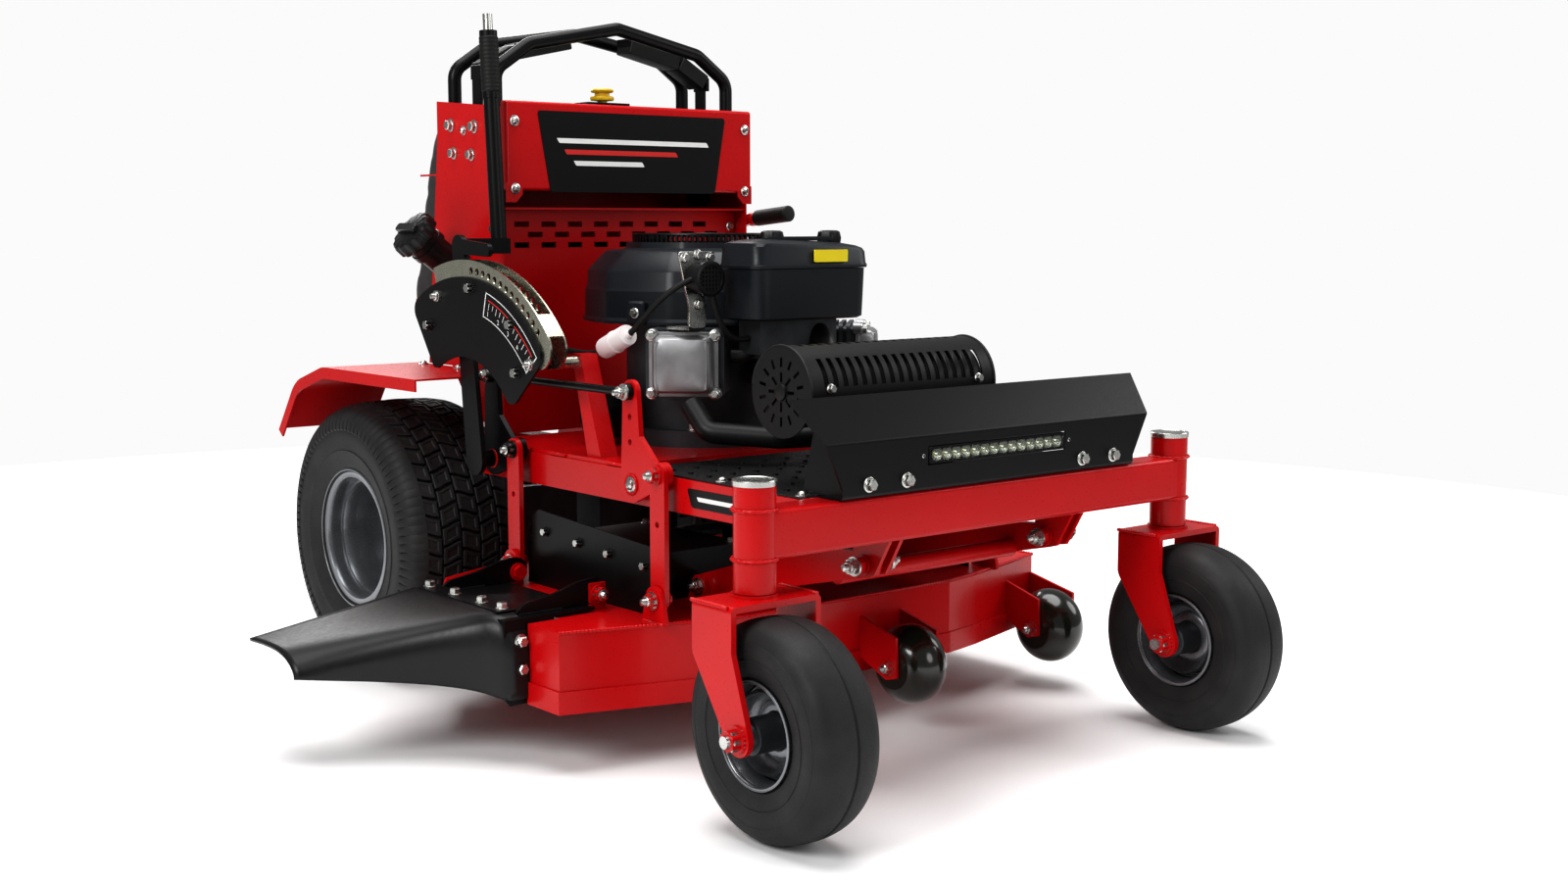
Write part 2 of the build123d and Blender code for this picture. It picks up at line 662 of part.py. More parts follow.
with BuildPart() as blower_housing:
    with BuildSketch(Plane.XY.offset(shroud_bottom + seat_gap)):
        with Locations((0, engine_y)):
            Circle(shroud_radius)
    extrude(amount=shroud_top - shroud_bottom)
    fillet(blower_housing.edges().group_by(Axis.Z)[-1], 12)
    with BuildSketch(Plane.XY.offset(shroud_bottom)):
        with Locations((0, engine_y)):
            Circle(shroud_radius - sheet)
    extrude(amount=shroud_top - shroud_bottom - 12, mode=Mode.SUBTRACT)
    with BuildSketch(Plane.XY.offset(shroud_bottom)):
        with Locations((0, engine_y)):
            Circle(screen_radius - 10)
    extrude(amount=shroud_top, mode=Mode.SUBTRACT)
save(blower_housing, "blower_housing")

screen_low = shroud_top + 3
with BuildPart() as cooling_screen:
    with BuildSketch(Plane.XY.offset(screen_low)):
        with Locations((0, engine_y)):
            Circle(screen_radius)
    extrude(amount=22)
    for ring in range(3):
        with Locations(Plane(origin=(0, engine_y, screen_low + 22))):
            with PolarLocations(42 + ring * 26, 18 + ring * 10):
                Box(18, 6, 60, mode=Mode.SUBTRACT)
    with BuildSketch(Plane.XY.offset(screen_low - 6)):
        with Locations((0, engine_y)):
            Circle(24)
    extrude(amount=14)
    rod((0, engine_y, engine_plate_top - 60), (0, engine_y, screen_low), crank_radius)
save(cooling_screen, "cooling_screen")

with BuildPart() as pto_clutch:
    rod((0, engine_y, 296), (0, engine_y, 344), 66)
    rod((0, engine_y, 284), (0, engine_y, 296), 44)
    rod((0, engine_y, 344), (0, engine_y, engine_plate_top - 60), 22)
save(pto_clutch, "pto_clutch")

cleaner_x = (-132.0, 89.0)
cleaner_y = (-742.0, -636.0)
with BuildPart() as air_cleaner:
    block(cleaner_x, cleaner_y, (612, 728))
    fillet(air_cleaner.edges().filter_by(Axis.Z), 26)
    fillet(air_cleaner.edges().group_by(Axis.Z)[-1], 9)
    for x in (-66, 46):
        rod((x, (cleaner_y[0] + cleaner_y[1]) / 2, 727), (x, (cleaner_y[0] + cleaner_y[1]) / 2, 744), 9)
save(air_cleaner, "air_cleaner")

muffler_y = -920.0
muffler_z = 530.0
muffler_radius = 62.0
muffler_x = (-240.0, 105.0)
with BuildPart() as muffler:
    rod((muffler_x[0] + 14, muffler_y, muffler_z), (muffler_x[1] - 14, muffler_y, muffler_z), 50)
    block((-90, 60), (muffler_y - 24, muffler_y + 24), (rail_top + sheet + 3.4, muffler_z - 30))
    with BuildLine() as pipe_line:
        FilletPolyline((-188, -650, 490), (-188, -690, 452), (-120, -770, 446), (-20, -800, 446),
                       (-20, -872, 500), radius=24)
    with BuildSketch(Plane(origin=(-188, -650, 490), z_dir=(0, -40, -38))) as pipe_end:
        Circle(16)
    sweep(pipe_end.sketch, path=pipe_line.line)
save(muffler, "muffler")

with BuildPart() as muffler_guard:
    rod((muffler_x[0], muffler_y, muffler_z), (muffler_x[1], muffler_y, muffler_z), muffler_radius)
    rod((muffler_x[0] + 2.5, muffler_y, muffler_z), (muffler_x[1] + 1, muffler_y, muffler_z),
        muffler_radius - 2.5, Mode.SUBTRACT)
    block((muffler_x[0] + 2.5, muffler_x[1] + 1), (muffler_y - 80, muffler_y + 80),
          (muffler_z - 90, muffler_z - 34), Mode.SUBTRACT)
    block((muffler_x[0] + 2.5, muffler_x[1] + 1), (muffler_y + 10, muffler_y + 80),
          (muffler_z - 90, muffler_z - 6), Mode.SUBTRACT)
    slot_pitch = 17.0
    slot_count = 18
    first = (muffler_x[0] + muffler_x[1] - slot_pitch * (slot_count - 1)) / 2
    for row_angle in (28, 100):
        angle = math.radians(row_angle)
        away = Vector(0, -math.cos(angle), math.sin(angle))
        row = Vector(first + slot_pitch * (slot_count - 1) / 2, muffler_y, muffler_z) + away * muffler_radius
        with Locations(Plane(origin=row, x_dir=(1, 0, 0), z_dir=away)):
            with GridLocations(slot_pitch, 1, slot_count, 1):
                Box(8, 42, 24, mode=Mode.SUBTRACT)
    for ring, count in ((20, 8), (40, 14)):
        with Locations(Plane(origin=(muffler_x[0], muffler_y, muffler_z), z_dir=(1, 0, 0))):
            with PolarLocations(ring, count):
                Box(13, 4.5, 8, mode=Mode.SUBTRACT)
save(muffler_guard, "muffler_guard")

# Fuel line: pump on its bracket, filter in the line, hoses to the tank and the carburettor.
pump_place = (-174.0, -648.0, 674.0)
hose_radius = 4.5
filter_ends = ((-238.0, -562.0, 590.0), (-238.0, -500.0, 566.0))


def hose(*points):
    """A hose swept along a smooth line through its points."""
    with BuildLine() as path:
        Spline(*points)
    with BuildSketch(Plane(origin=path.line @ 0, z_dir=path.line % 0)) as profile:
        Circle(hose_radius)
    sweep(profile.sketch, path=path.line)


with BuildPart() as fuel_line:
    px, py, pz = pump_place
    plate_y([(px - 34, 712), (px + 32, 712), (px + 14, 634), (px + 14, 598), (px - 14, 598), (px - 14, 634)],
            (py, py + sheet))
    block((px - 14, px + 14), (py, -592), (598, 601))
    rod((px, py + 1, pz), (px, py - 30, pz), 22)
    rod(*filter_ends, 15)
    hose((px - 18, py - 16, pz), (-216, -650, 660), (-234, -612, 626), (-238, -570, 594), (-238, -556, 588))
    hose((-238, -504, 567), (-238, -486, 561), (-232, -420, 556), (-226, -300, 562), (-222, vent_front - 0.5, 566))
    hose((px + 12, py - 18, pz - 14), (-152, -664, 628), (-130, -664, 592), (-91, -664, 584))
save(fuel_line, "fuel_line")

# =========================================================================
# Front guard with its light bar
# =========================================================================
guard_half = (281.0, 309.0, 331.0)
guard_line = [(beam_rear - 4, beam_top + 2), (beam_front - 2, beam_top + 2), (beam_front - 4, 479), (-1041, 533)]
with BuildPart() as front_guard:
    with BuildSketch(Plane.YZ.offset(-guard_half[2])):
        with BuildLine():
            FilletPolyline(*guard_line, radius=4)
        trace(line_width=sheet)
    extrude(amount=2 * guard_half[2])
    for side in side_names:
        plate_y(mirrored_x([(guard_half[0], 380), (guard_half[0], 421), (guard_half[1], 479),
                            (guard_half[2], 536), (420, 560), (420, 380)], side),
                (-1140, -1000), Mode.SUBTRACT)
    for side in side_names:
        plate_x([(beam_front - 3, 412), (beam_front - 3, 478), (-1043, 530), (-1010, beam_top + 3)],
                (side * (guard_half[0] - 2), side * (guard_half[0] - 2 - sheet)))
    block((-133, 133), (beam_front - 20, beam_front + 6), (440, 466), Mode.SUBTRACT)
save(front_guard, "front_guard")

with BuildPart() as light_bar:
    block((-132, 132), (beam_front - 6, beam_front + 16), (441, 465))
    fillet(light_bar.edges().filter_by(Axis.Y), 3)
save(light_bar, "light_bar")

# =========================================================================
# Height of cut: lever with its cross shaft and cranks, quadrant, rod, hangers
# =========================================================================
arc_radius = 296.0
hole_pitch = 3.4
hole_count = 13
first_hole = 94.0


def polar_yz(radius, angle):
    """A (y, z) point round the lift lever's pivot, the angle counted from the rear."""
    turn = math.radians(angle)
    return rear_lift_y + radius * math.cos(turn), lift_pivot_z + radius * math.sin(turn)


def arc_band(inner, outer, start, end, x, mode=Mode.ADD):
    """A ring sector round the lift lever's pivot, between two x values."""
    low, high = span(*x)
    middle = (start + end) / 2
    with BuildSketch(Plane.YZ.offset(low)) as profile:
        with BuildLine():
            ThreePointArc(polar_yz(outer, start), polar_yz(outer, middle), polar_yz(outer, end))
            Line(polar_yz(outer, end), polar_yz(inner, end))
            ThreePointArc(polar_yz(inner, end), polar_yz(inner, middle), polar_yz(inner, start))
            Line(polar_yz(inner, start), polar_yz(outer, start))
        make_face()
    extrude(profile.sketch, amount=high - low, mode=mode)


def lift_crank(pivot_y, side):
    """The bell crank plate on one side of a cross shaft."""
    x = (side * crank_inner, side * (crank_inner + crank_plate))
    link_x([(pivot_y, lift_pivot_z, 26), (pivot_y + rod_pin[0], lift_pivot_z + rod_pin[1], 17)], x)
    link_x([(pivot_y, lift_pivot_z, 26), (pivot_y + hanger_pin[0], lift_pivot_z + hanger_pin[1], 17)], x)
    plate_x([(pivot_y - 60, lift_pivot_z + 34), (pivot_y - 20, lift_pivot_z + 70),
             (pivot_y, lift_pivot_z + 70), (pivot_y, lift_pivot_z + 20)], x)


def pin_at(pivot_y, offset):
    """The (y, z) centre of a crank pin."""
    return pivot_y + offset[0], lift_pivot_z + offset[1]


hanger_inner = crank_inner + crank_plate + side_gap / 2
hanger_outer = hanger_inner + hanger_plate
hanger_pin_radius = 7.0
with BuildPart() as front_lift_crank:
    rod((-crank_inner - crank_plate, front_lift_y, lift_pivot_z),
        (crank_inner + crank_plate, front_lift_y, lift_pivot_z), lift_shaft_radius)
    for side in side_names:
        lift_crank(front_lift_y, side)
        pin = pin_at(front_lift_y, hanger_pin)
        rod((side * crank_inner, *pin), (side * (hanger_outer + 1), *pin), hanger_pin_radius)
        hex_head((side * (hanger_outer + 1), *pin), (side, 0, 0), 19, 10)
    pin = pin_at(front_lift_y, rod_pin)
    rod((-crank_inner, *pin), (-hanger_outer - 2, *pin), hanger_pin_radius)
    for spare in (36, 72):
        rod((-crank_inner + 1, pin[0], pin[1] - spare), (-crank_inner - crank_plate - 1, pin[0], pin[1] - spare),
            4.5, Mode.SUBTRACT)
save(front_lift_crank, "front_lift_crank")

lever_x = -275.0
lever_plates = (-350.0, -342.0)
lever_foot = (-262.0, 718.0)
quadrant_outer_radius = 312.0
grip_bottom = 949.0
grip_top = 1054.0


def grip_point(z):
    """A point on the grip's axis at a height."""
    return lever_x, -246 + 6 * (z - grip_bottom) / (grip_top - grip_bottom), z


with BuildPart() as height_lever:
    rod((lever_plates[0], rear_lift_y, lift_pivot_z), (crank_inner + crank_plate, rear_lift_y, lift_pivot_z),
        lift_shaft_radius)
    for side in side_names:
        lift_crank(rear_lift_y, side)
        pin = pin_at(rear_lift_y, hanger_pin)
        rod((side * crank_inner, *pin), (side * (hanger_outer + 1), *pin), hanger_pin_radius)
        hex_head((side * (hanger_outer + 1), *pin), (side, 0, 0), 19, 10)
    pin = pin_at(rear_lift_y, rod_pin)
    rod((-crank_inner, *pin), (-hanger_outer - 1, *pin), hanger_pin_radius)
    link_x([(rear_lift_y, lift_pivot_z, 24), (*lever_foot, 18)], lever_plates)
    link_x([(*lever_foot, 12), (*polar_yz(quadrant_outer_radius + 18, 98), 10)], lever_plates)
    block((lever_plates[1], lever_x + 13), (lever_foot[0] - 13, lever_foot[0] + 13),
          (lever_foot[1] - 12, lever_foot[1] + 12))
    rod((lever_x, *lever_foot), (lever_x, -246, grip_bottom), 12.5)
    rod((lever_x, -246, grip_bottom), (lever_x, -240, grip_top), 14)
    rod(grip_point(1020), grip_point(grip_top + 1), 7.5 + running, Mode.SUBTRACT)
save(height_lever, "height_lever")

with BuildPart() as lever_button:
    rod(grip_point(1032), grip_point(grip_top + 26), 7.5)
save(lever_button, "lever_button")

quadrant_plates = ((-361.0, -358.0), (-335.0, -332.0))
with BuildPart() as height_quadrant:
    for x in quadrant_plates:
        arc_band(252, quadrant_outer_radius, 72, 139, x)
        link_x([(*polar_yz(282, 139), 30), (*polar_yz(282, 138), 30)], x)
    arc_band(quadrant_outer_radius - 3, quadrant_outer_radius, 131, 139, (quadrant_plates[0][1], quadrant_plates[1][0]))
    for step in range(hole_count):
        y, z = polar_yz(arc_radius, first_hole + hole_pitch * step)
        rod((quadrant_plates[0][0] - 1, y, z), (quadrant_plates[1][1] + 1, y, z), 5.5, Mode.SUBTRACT)
    for y, z, reach in ((-226, 640, tower_half), (-497, 548, rail_outer - 14)):
        rod((-reach, y, z), (quadrant_plates[1][0], y, z), 9)
save(height_quadrant, "height_quadrant")

with BuildPart() as quadrant_cover:
    arc_band(162, 286, 60, 139, (quadrant_plates[0][0] - 4, quadrant_plates[0][0]))
    link_x([(*polar_yz(184, 139), 22), (*polar_yz(264, 139), 22)], (quadrant_plates[0][0] - 4, quadrant_plates[0][0]))
    link_x([(*polar_yz(176, 60), 12), (*polar_yz(266, 60), 20)], (quadrant_plates[0][0] - 4, quadrant_plates[0][0]))
    for place in ((-324, 655), (-193, 593), (-441, 604), (-455, 533)):
        hex_head((quadrant_plates[0][0] - 4, *place), (-1, 0, 0), 14, 6)
save(quadrant_cover, "quadrant_cover")

rod_x = (-hanger_inner, -hanger_outer)
with BuildPart() as lift_rod:
    front_pin = pin_at(front_lift_y, rod_pin)
    rear_pin = pin_at(rear_lift_y, rod_pin)
    for pin in (front_pin, rear_pin):
        link_x([(*pin, 12)], rod_x)
    middle_x = rod_x[1] + 1
    rod((middle_x, front_pin[0], front_pin[1]), (middle_x, rear_pin[0], rear_pin[1]), 6)
    rod((rod_x[0] + 1, *front_pin), (rod_x[1] - 8, *front_pin), hanger_pin_radius + running, Mode.SUBTRACT)
    rod((rod_x[0] + 1, *rear_pin), (rod_x[1] - 8, *rear_pin), hanger_pin_radius + 0.6, Mode.SUBTRACT)
save(lift_rod, "lift_rod")

slot_play = 3.5
deck_pin_radius = 7.0
for end, pivot_y in (("front", front_lift_y), ("rear", rear_lift_y)):
    top_y, top_z = pin_at(pivot_y, hanger_pin)
    foot_z = top_z - hanger_length
    with BuildPart() as deck_hangers:
        for side in side_names:
            x = (side * hanger_inner, side * hanger_outer)
            link_x([(top_y, top_z, 17), (top_y, foot_z, 17)], x)
            rod((side * (hanger_inner - 1), top_y, top_z), (side * (hanger_outer + 1), top_y, top_z),
                hanger_pin_radius + running, Mode.SUBTRACT)
            link_x([(top_y - slot_play, foot_z, deck_pin_radius + 1), (top_y + slot_play, foot_z, deck_pin_radius + 1)],
                   (side * (hanger_inner - 1), side * (hanger_outer + 1)), Mode.SUBTRACT)
            rod((side * (hanger_inner - 1), top_y, top_z - 70), (side * (hanger_outer + 1), top_y, top_z - 70), 4.5,
                Mode.SUBTRACT)
    save(deck_hangers, f"{end}_hangers")

strut_play = 1.4
with BuildPart() as deck_struts:
    for side in side_names:
        x = (side * strut_x - strut_width / 2, side * strut_x + strut_width / 2)
        link_x([(*strut_front, 17), (-900, 286, 26), (*strut_rear, 17)], x)
        rod((x[0] - 1, *strut_front), (x[1] + 1, *strut_front), strut_pin_radius + running, Mode.SUBTRACT)
        rod((x[0] - 1, *strut_rear), (x[1] + 1, *strut_rear), strut_pin_radius + strut_play, Mode.SUBTRACT)
    rod((-strut_x + strut_width / 2, -955, 279), (strut_x - strut_width / 2, -955, 279), 13)
save(deck_struts, "deck_struts")

# =========================================================================
# Deck
# =========================================================================
left_edge = [(200, deck_front), (273, deck_front + 16), (deck_half, -724), (deck_half, -400), (396, -288),
             (300, deck_rear)]
deck_outline = left_edge + [(-x, y) for x, y in reversed(left_edge)]


def grown(outline, amount):
    """An (x, y) deck outline moved outwards from the deck's middle by an amount."""
    with BuildSketch() as profile:
        with BuildLine():
            Polyline(*outline, close=True)
        make_face()
        if amount:
            offset(amount=amount, kind=Kind.INTERSECTION)
    return profile.sketch


def deck_slab(amount, z, mode=Mode.ADD):
    """The deck's outline, grown or shrunk, extruded between two heights."""
    face = Pos(0, 0, z[0]) * grown(deck_outline, amount)
    extrude(face, amount=z[1] - z[0], mode=mode)


discharge_edge = -418.0
chute_outer = -505.0
chute_low = deck_top + 3.5
ear_places = (-407.0, -620.0)
roller_half = 38.0
roller_bracket = 5.0


def front_edge_y(x):
    """The deck's front edge at one x, across the middle or along the slanted corner."""
    (x_in, y_in), (x_out, y_out) = left_edge[1], left_edge[2]
    if abs(x) < x_in:
        return deck_front
    return y_in + (abs(x) - x_in) * (y_out - y_in) / (x_out - x_in)


def roller_brackets():
    """Two plates and an axle for each anti-scalp roller."""
    for x, y, z in roller_places:
        for way in (-1, 1):
            face = x + way * (roller_half + side_gap)
            start = front_edge_y(face) + 6
            plate_x([(start, 112), (start, 172), (y - 14, 150), (y - 16, 90), (y + 6, 84)],
                    (face, face + way * roller_bracket))
            hex_head((face + way * roller_bracket, y, z), (way, 0, 0), 16, 7)
        reach = roller_half + side_gap + 1
        rod((x - reach, y, z), (x + reach, y, z), 6)


def chute_lugs():
    """Ears on the deck that hold the chute's hinge bolts."""
    for y, way in zip(ear_places, (1, -1)):
        face = y + way * 4
        plate_y([(chute_hinge[0] - 13, 212), (chute_hinge[0] - 13, 240), (chute_hinge[0] + 13, 240),
                 (chute_hinge[0] + 13, deck_top - 1), (chute_hinge[0] + 1, deck_top - 1)], (face, face + way * 6))
        rod((chute_hinge[0], face, chute_hinge[1]), (chute_hinge[0], y - way * 4, chute_hinge[1]), 6)
        hex_head((chute_hinge[0], face + way * 6, chute_hinge[1]), (0, way, 0), 19, 9)
        hex_head((chute_hinge[0], y - way * 4, chute_hinge[1]), (0, -way, 0), 19, 7)


lug_plate = 6.0
lug_inner = hanger_outer + side_gap
with BuildPart() as deck_shell:
    deck_slab(0, (deck_bottom, deck_top))
    deck_slab(3, (deck_bottom, deck_bottom + 32))
    deck_slab(-deck_plate, (deck_bottom - 1, deck_top - deck_plate), Mode.SUBTRACT)
    block((-deck_half - 10, discharge_edge), (chute_front - 4, chute_rear - 22), (deck_bottom - 1, deck_top + 1),
          Mode.SUBTRACT)
    block((-deck_half, discharge_edge - 8), (chute_front - 8, chute_front - 4), (deck_bottom, deck_top))
    for side, y in zip(side_names, spindle_y):
        with Locations((side * spindle_x, y, deck_top)):
            Cylinder(41, 20, mode=Mode.SUBTRACT)
    for pivot_y in (front_lift_y, rear_lift_y):
        top_y, top_z = pin_at(pivot_y, hanger_pin)
        foot_z = top_z - hanger_length
        for side in side_names:
            x = (side * lug_inner, side * (lug_inner + lug_plate))
            link_x([(top_y, foot_z, 20), (top_y - 24, deck_top + 2, 4), (top_y + 24, deck_top + 2, 4)], x)
            rod((side * (hanger_inner - 6), top_y, foot_z), (side * lug_inner, top_y, foot_z), deck_pin_radius)
            hex_head((side * (lug_inner + lug_plate), top_y, foot_z), (side, 0, 0), 19, 9)
            hex_head((side * (hanger_inner - 6), top_y, foot_z), (-side, 0, 0), 14, 4)
    for side in side_names:
        for way in (-1, 1):
            x = side * strut_x + way * (strut_width / 2 + side_gap)
            link_x([(*strut_rear, 17), (strut_rear[0] - 22, deck_top + 1, 3), (strut_rear[0] + 22, deck_top + 1, 3)],
                   (x, x + way * lug_plate))
        reach = strut_width / 2 + side_gap + lug_plate
        rod((side * strut_x - reach, *strut_rear), (side * strut_x + reach, *strut_rear), strut_pin_radius)
    roller_brackets()
    chute_lugs()
save(deck_shell, "deck_shell")

pulley_low = 243.0
belt_low = 246.0
belt_high = 258.0
pulley_core = 53.5
engine_pulley_core = 45.5
belt_gap = 0.5
belt_thickness = 8.0


def pulley(place, core, z_low):
    """A flat-grooved pulley for the deck belt."""
    flange = core + 9
    for low, radius, thick in ((z_low, flange, belt_low - pulley_low), (belt_low, core, belt_high - belt_low),
                               (belt_high, flange, belt_low - pulley_low)):
        with Locations((*place, low + thick / 2)):
            Cylinder(radius, thick)


belt_rounds = [(-spindle_x, spindle_y[0], pulley_core), (spindle_x, spindle_y[1], pulley_core),
               (0, engine_y, engine_pulley_core)]
with BuildPart() as deck_belt:
    for growth, mode in ((belt_gap + belt_thickness, Mode.ADD), (belt_gap, Mode.SUBTRACT)):
        with BuildSketch(Plane.XY.offset(belt_low + belt_gap)) as loop:
            for x, y, core in belt_rounds:
                with Locations((x, y)):
                    Circle(core + growth)
            make_hull()
        extrude(loop.sketch, amount=belt_high - belt_low - 2 * belt_gap, mode=mode)
save(deck_belt, "deck_belt")

with BuildPart() as spindle_housings:
    for side, y in zip(side_names, spindle_y):
        place = (side * spindle_x, y)
        with Locations((*place, deck_top + 4)):
            Cylinder(70, 8)
        with Locations((*place, 200)):
            Cylinder(38, 76)
        with Locations((*place, 200)):
            Cylinder(12.5 + running, 100, mode=Mode.SUBTRACT)
        with Locations(Plane(origin=(*place, deck_top + 8))):
            with PolarLocations(56, 6):
                Cylinder(6, 6, align=(Align.CENTER, Align.CENTER, Align.MIN))
save(spindle_housings, "spindle_housings")

for (side, name), y, turn in zip(side_names.items(), spindle_y, (30, -38)):
    place = (side * spindle_x, y)
    with BuildPart() as blade_spindle:
        rod((*place, blade_height - 12), (*place, belt_high + 8), 12.5)
        pulley(place, pulley_core, pulley_low)
        with Locations((*place, blade_height + 18)):
            Cylinder(30, 30)
        with Locations((*place, blade_height - 8)):
            Cylinder(16, 10)
        with BuildSketch(Plane(origin=(*place, blade_height)).rotated((0, 0, turn))):
            Rectangle(blade_radius * 2 - 6, 58)
        extrude(amount=5)
    save(blade_spindle, f"blade_spindle_{name}")

cover_inner = 75.0
cover_outer = 306.0
cover_y = (-642.0, -384.0)
cover_top = 272.0
with BuildPart() as belt_covers:
    for side in side_names:
        block((side * cover_inner, side * cover_outer), cover_y, (deck_top, cover_top))
    fillet(belt_covers.edges().filter_by(Axis.Y).group_by(Axis.Z)[-1], 8)
    for side in side_names:
        block((side * (cover_inner - 1), side * (cover_outer - sheet)), (cover_y[0] + sheet, cover_y[1] - sheet),
              (deck_top - 1, cover_top - sheet), Mode.SUBTRACT)
        plate_x([(-735, deck_top), (-735, 292), (-720, 300), (-420, 318), (-400, 306), (-400, deck_top)],
                (side * cover_outer, side * (cover_outer + sheet)))
        for step, y in enumerate((-440, -530, -610, -700)):
            hex_head((side * (cover_outer + sheet), y, 286 - 5 * step), (side, 0, 0), 11, 5)
save(belt_covers, "belt_covers")

for name, (x, y, z) in zip(("centre", "left"), roller_places):
    with BuildPart() as scalp_roller:
        with BuildSketch(Plane(origin=(x, y, z), x_dir=(1, 0, 0), z_dir=(0, 1, 0))):
            with BuildLine():
                end = 34.0
                bore = 6 + running
                Polyline((roller_half, end), (roller_half, bore), (-roller_half, bore), (-roller_half, end))
                ThreePointArc((-roller_half, end), (0, roller_radius), (roller_half, end))
            make_face()
        revolve(axis=Axis((x, y, z), (1, 0, 0)))
    save(scalp_roller, f"scalp_roller_{name}")

# Side discharge chute: pinned bracket with a flexible flap.
with BuildPart() as chute_bracket:
    block((chute_hinge[0] - 14, chute_outer), (chute_front, chute_rear), (chute_low, chute_low + 4))
    plate_y([(-424, deck_bottom), (-498, deck_bottom), (chute_outer, deck_bottom + 8), (chute_outer, chute_low),
             (-424, chute_low)], (chute_front, chute_front + 4))
    for y in ear_places:
        plate_y([(chute_hinge[0] - 34, chute_low + 4), (chute_hinge[0] - 16, 243), (chute_hinge[0] + 6, 243),
                 (chute_hinge[0] + 14, 232), (chute_hinge[0] + 12, 212), (chute_hinge[0] - 10, chute_low + 4)],
                (y - 3, y + 3))
        rod((chute_hinge[0], y - 4, chute_hinge[1]), (chute_hinge[0], y + 4, chute_hinge[1]), 6 + running,
            Mode.SUBTRACT)
save(chute_bracket, "chute_bracket")

flap_tip = -735.0
with BuildPart() as chute_flap:
    near = [(-380, 205), (-612, 205), (-634, 190), (-636, 96), (-632, 96), (-630, 188), (-610, 201), (-380, 201)]
    far = [(-322, 160), (-432, 158), (-452, 150), (-462, 134), (-458, 132), (-449, 147), (-430, 154), (-322, 156)]
    for x, outline in ((chute_outer - 0.2, near), (flap_tip, far)):
        with BuildSketch(Plane.YZ.offset(x)):
            with BuildLine():
                Polyline(*outline, close=True)
            make_face()
    loft(ruled=True)
save(chute_flap, "chute_flap")

# =========================================================================
# Operator platform at the rear
# =========================================================================
with BuildPart() as operator_platform:
    block((-platform_half, platform_half), (platform_hinge[0] + 34, platform_end), (200, 204))
    with Locations((0, (platform_hinge[0] + 34 + platform_end) / 2, 204)):
        with GridLocations(30, 30, 14, 6):
            Cylinder(8, 2, align=(Align.CENTER, Align.CENTER, Align.MIN))
    block((-platform_half, platform_half), (platform_end - 4, platform_end), (180, 200))
    for side in side_names:
        x = (side * (inner_rail_outer + plate + side_gap), side * (inner_rail_outer + plate + side_gap + 6))
        link_x([(*platform_hinge, 16), (platform_hinge[0] + 60, 208, 4), (platform_hinge[0], 204, 4)], x)
        rod((x[0] - side, *platform_hinge), (x[1] + side, *platform_hinge), 7 + running, Mode.SUBTRACT)
save(operator_platform, "operator_platform")

# =========================================================================
# Fasteners on the tower
# =========================================================================
with BuildPart() as frame_fasteners:
    for side in side_names:
        with BuildSketch(Plane(origin=(side * head_x, stem_y, head_tube_top))) as cap:
            Circle(head_tube_radius + 1.5)
        extrude(cap.sketch, amount=5)
        with BuildSketch(Plane(origin=(side * head_x, stem_y, head_tube_top + 5))) as cap:
            Circle(head_tube_radius)
        extrude(cap.sketch, amount=2)
    for side in side_names:
        for y, z, across in ((-73, 915, 14), (-149, 910, 14), (-115, 905, 10), (-81, 869, 14), (-138, 865, 14),
                             (-6, 535, 14)):
            hex_head((side * tower_half, y, z), (side, 0, 0), across, across * 0.4)
        for x, z in ((234, 914), (230, 828)):
            hex_head((side * x, tower_front - 14, z), (0, -1, 0), 11, 4)
save(frame_fasteners, "frame_fasteners")
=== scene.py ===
import json
import math

import bpy
import bmesh
import numpy as np
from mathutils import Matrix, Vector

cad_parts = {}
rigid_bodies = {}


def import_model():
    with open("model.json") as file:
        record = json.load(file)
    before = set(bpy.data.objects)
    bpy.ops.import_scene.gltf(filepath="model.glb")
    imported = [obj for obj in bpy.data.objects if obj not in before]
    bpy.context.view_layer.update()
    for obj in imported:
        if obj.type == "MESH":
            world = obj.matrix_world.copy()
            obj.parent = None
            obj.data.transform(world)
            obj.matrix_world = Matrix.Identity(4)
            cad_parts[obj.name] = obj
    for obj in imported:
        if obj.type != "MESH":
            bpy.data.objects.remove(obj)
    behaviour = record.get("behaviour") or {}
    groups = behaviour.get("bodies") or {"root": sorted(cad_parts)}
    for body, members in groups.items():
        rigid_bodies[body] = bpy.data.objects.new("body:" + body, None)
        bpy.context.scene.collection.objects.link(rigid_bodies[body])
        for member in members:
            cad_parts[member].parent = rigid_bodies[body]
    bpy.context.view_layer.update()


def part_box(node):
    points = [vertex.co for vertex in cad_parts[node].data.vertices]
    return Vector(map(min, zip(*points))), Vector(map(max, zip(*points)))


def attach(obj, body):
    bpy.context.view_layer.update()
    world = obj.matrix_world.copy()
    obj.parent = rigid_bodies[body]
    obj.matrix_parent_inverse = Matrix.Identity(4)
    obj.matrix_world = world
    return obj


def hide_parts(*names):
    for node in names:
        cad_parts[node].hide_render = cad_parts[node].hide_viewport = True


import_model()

bl_info = {
    "name": "Stand-on Mower",
    "version": (1, 0, 0),
    "blender": (4, 5, 0),
    "location": "View3D > Sidebar > Mower",
    "description": "Finishes and fine pieces for a stand-on zero-turn mower",
    "category": "Object",
}

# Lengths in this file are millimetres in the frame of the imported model:
# +X the mower's left, +Y its rear, +Z up. It drives towards -Y.
MM = 0.001
SIDES = {-1: "right", 1: "left"}


def node_box(node):
    """The lowest and highest corners of a CAD node, in millimetres."""
    low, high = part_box(node)
    return np.array(low) / MM, np.array(high) / MM


# =========================================================================
# Surfaces: each one is (points, faces)
# =========================================================================
def unit(vector):
    vector = np.asarray(vector, float)
    return vector / np.linalg.norm(vector, axis=-1, keepdims=True)


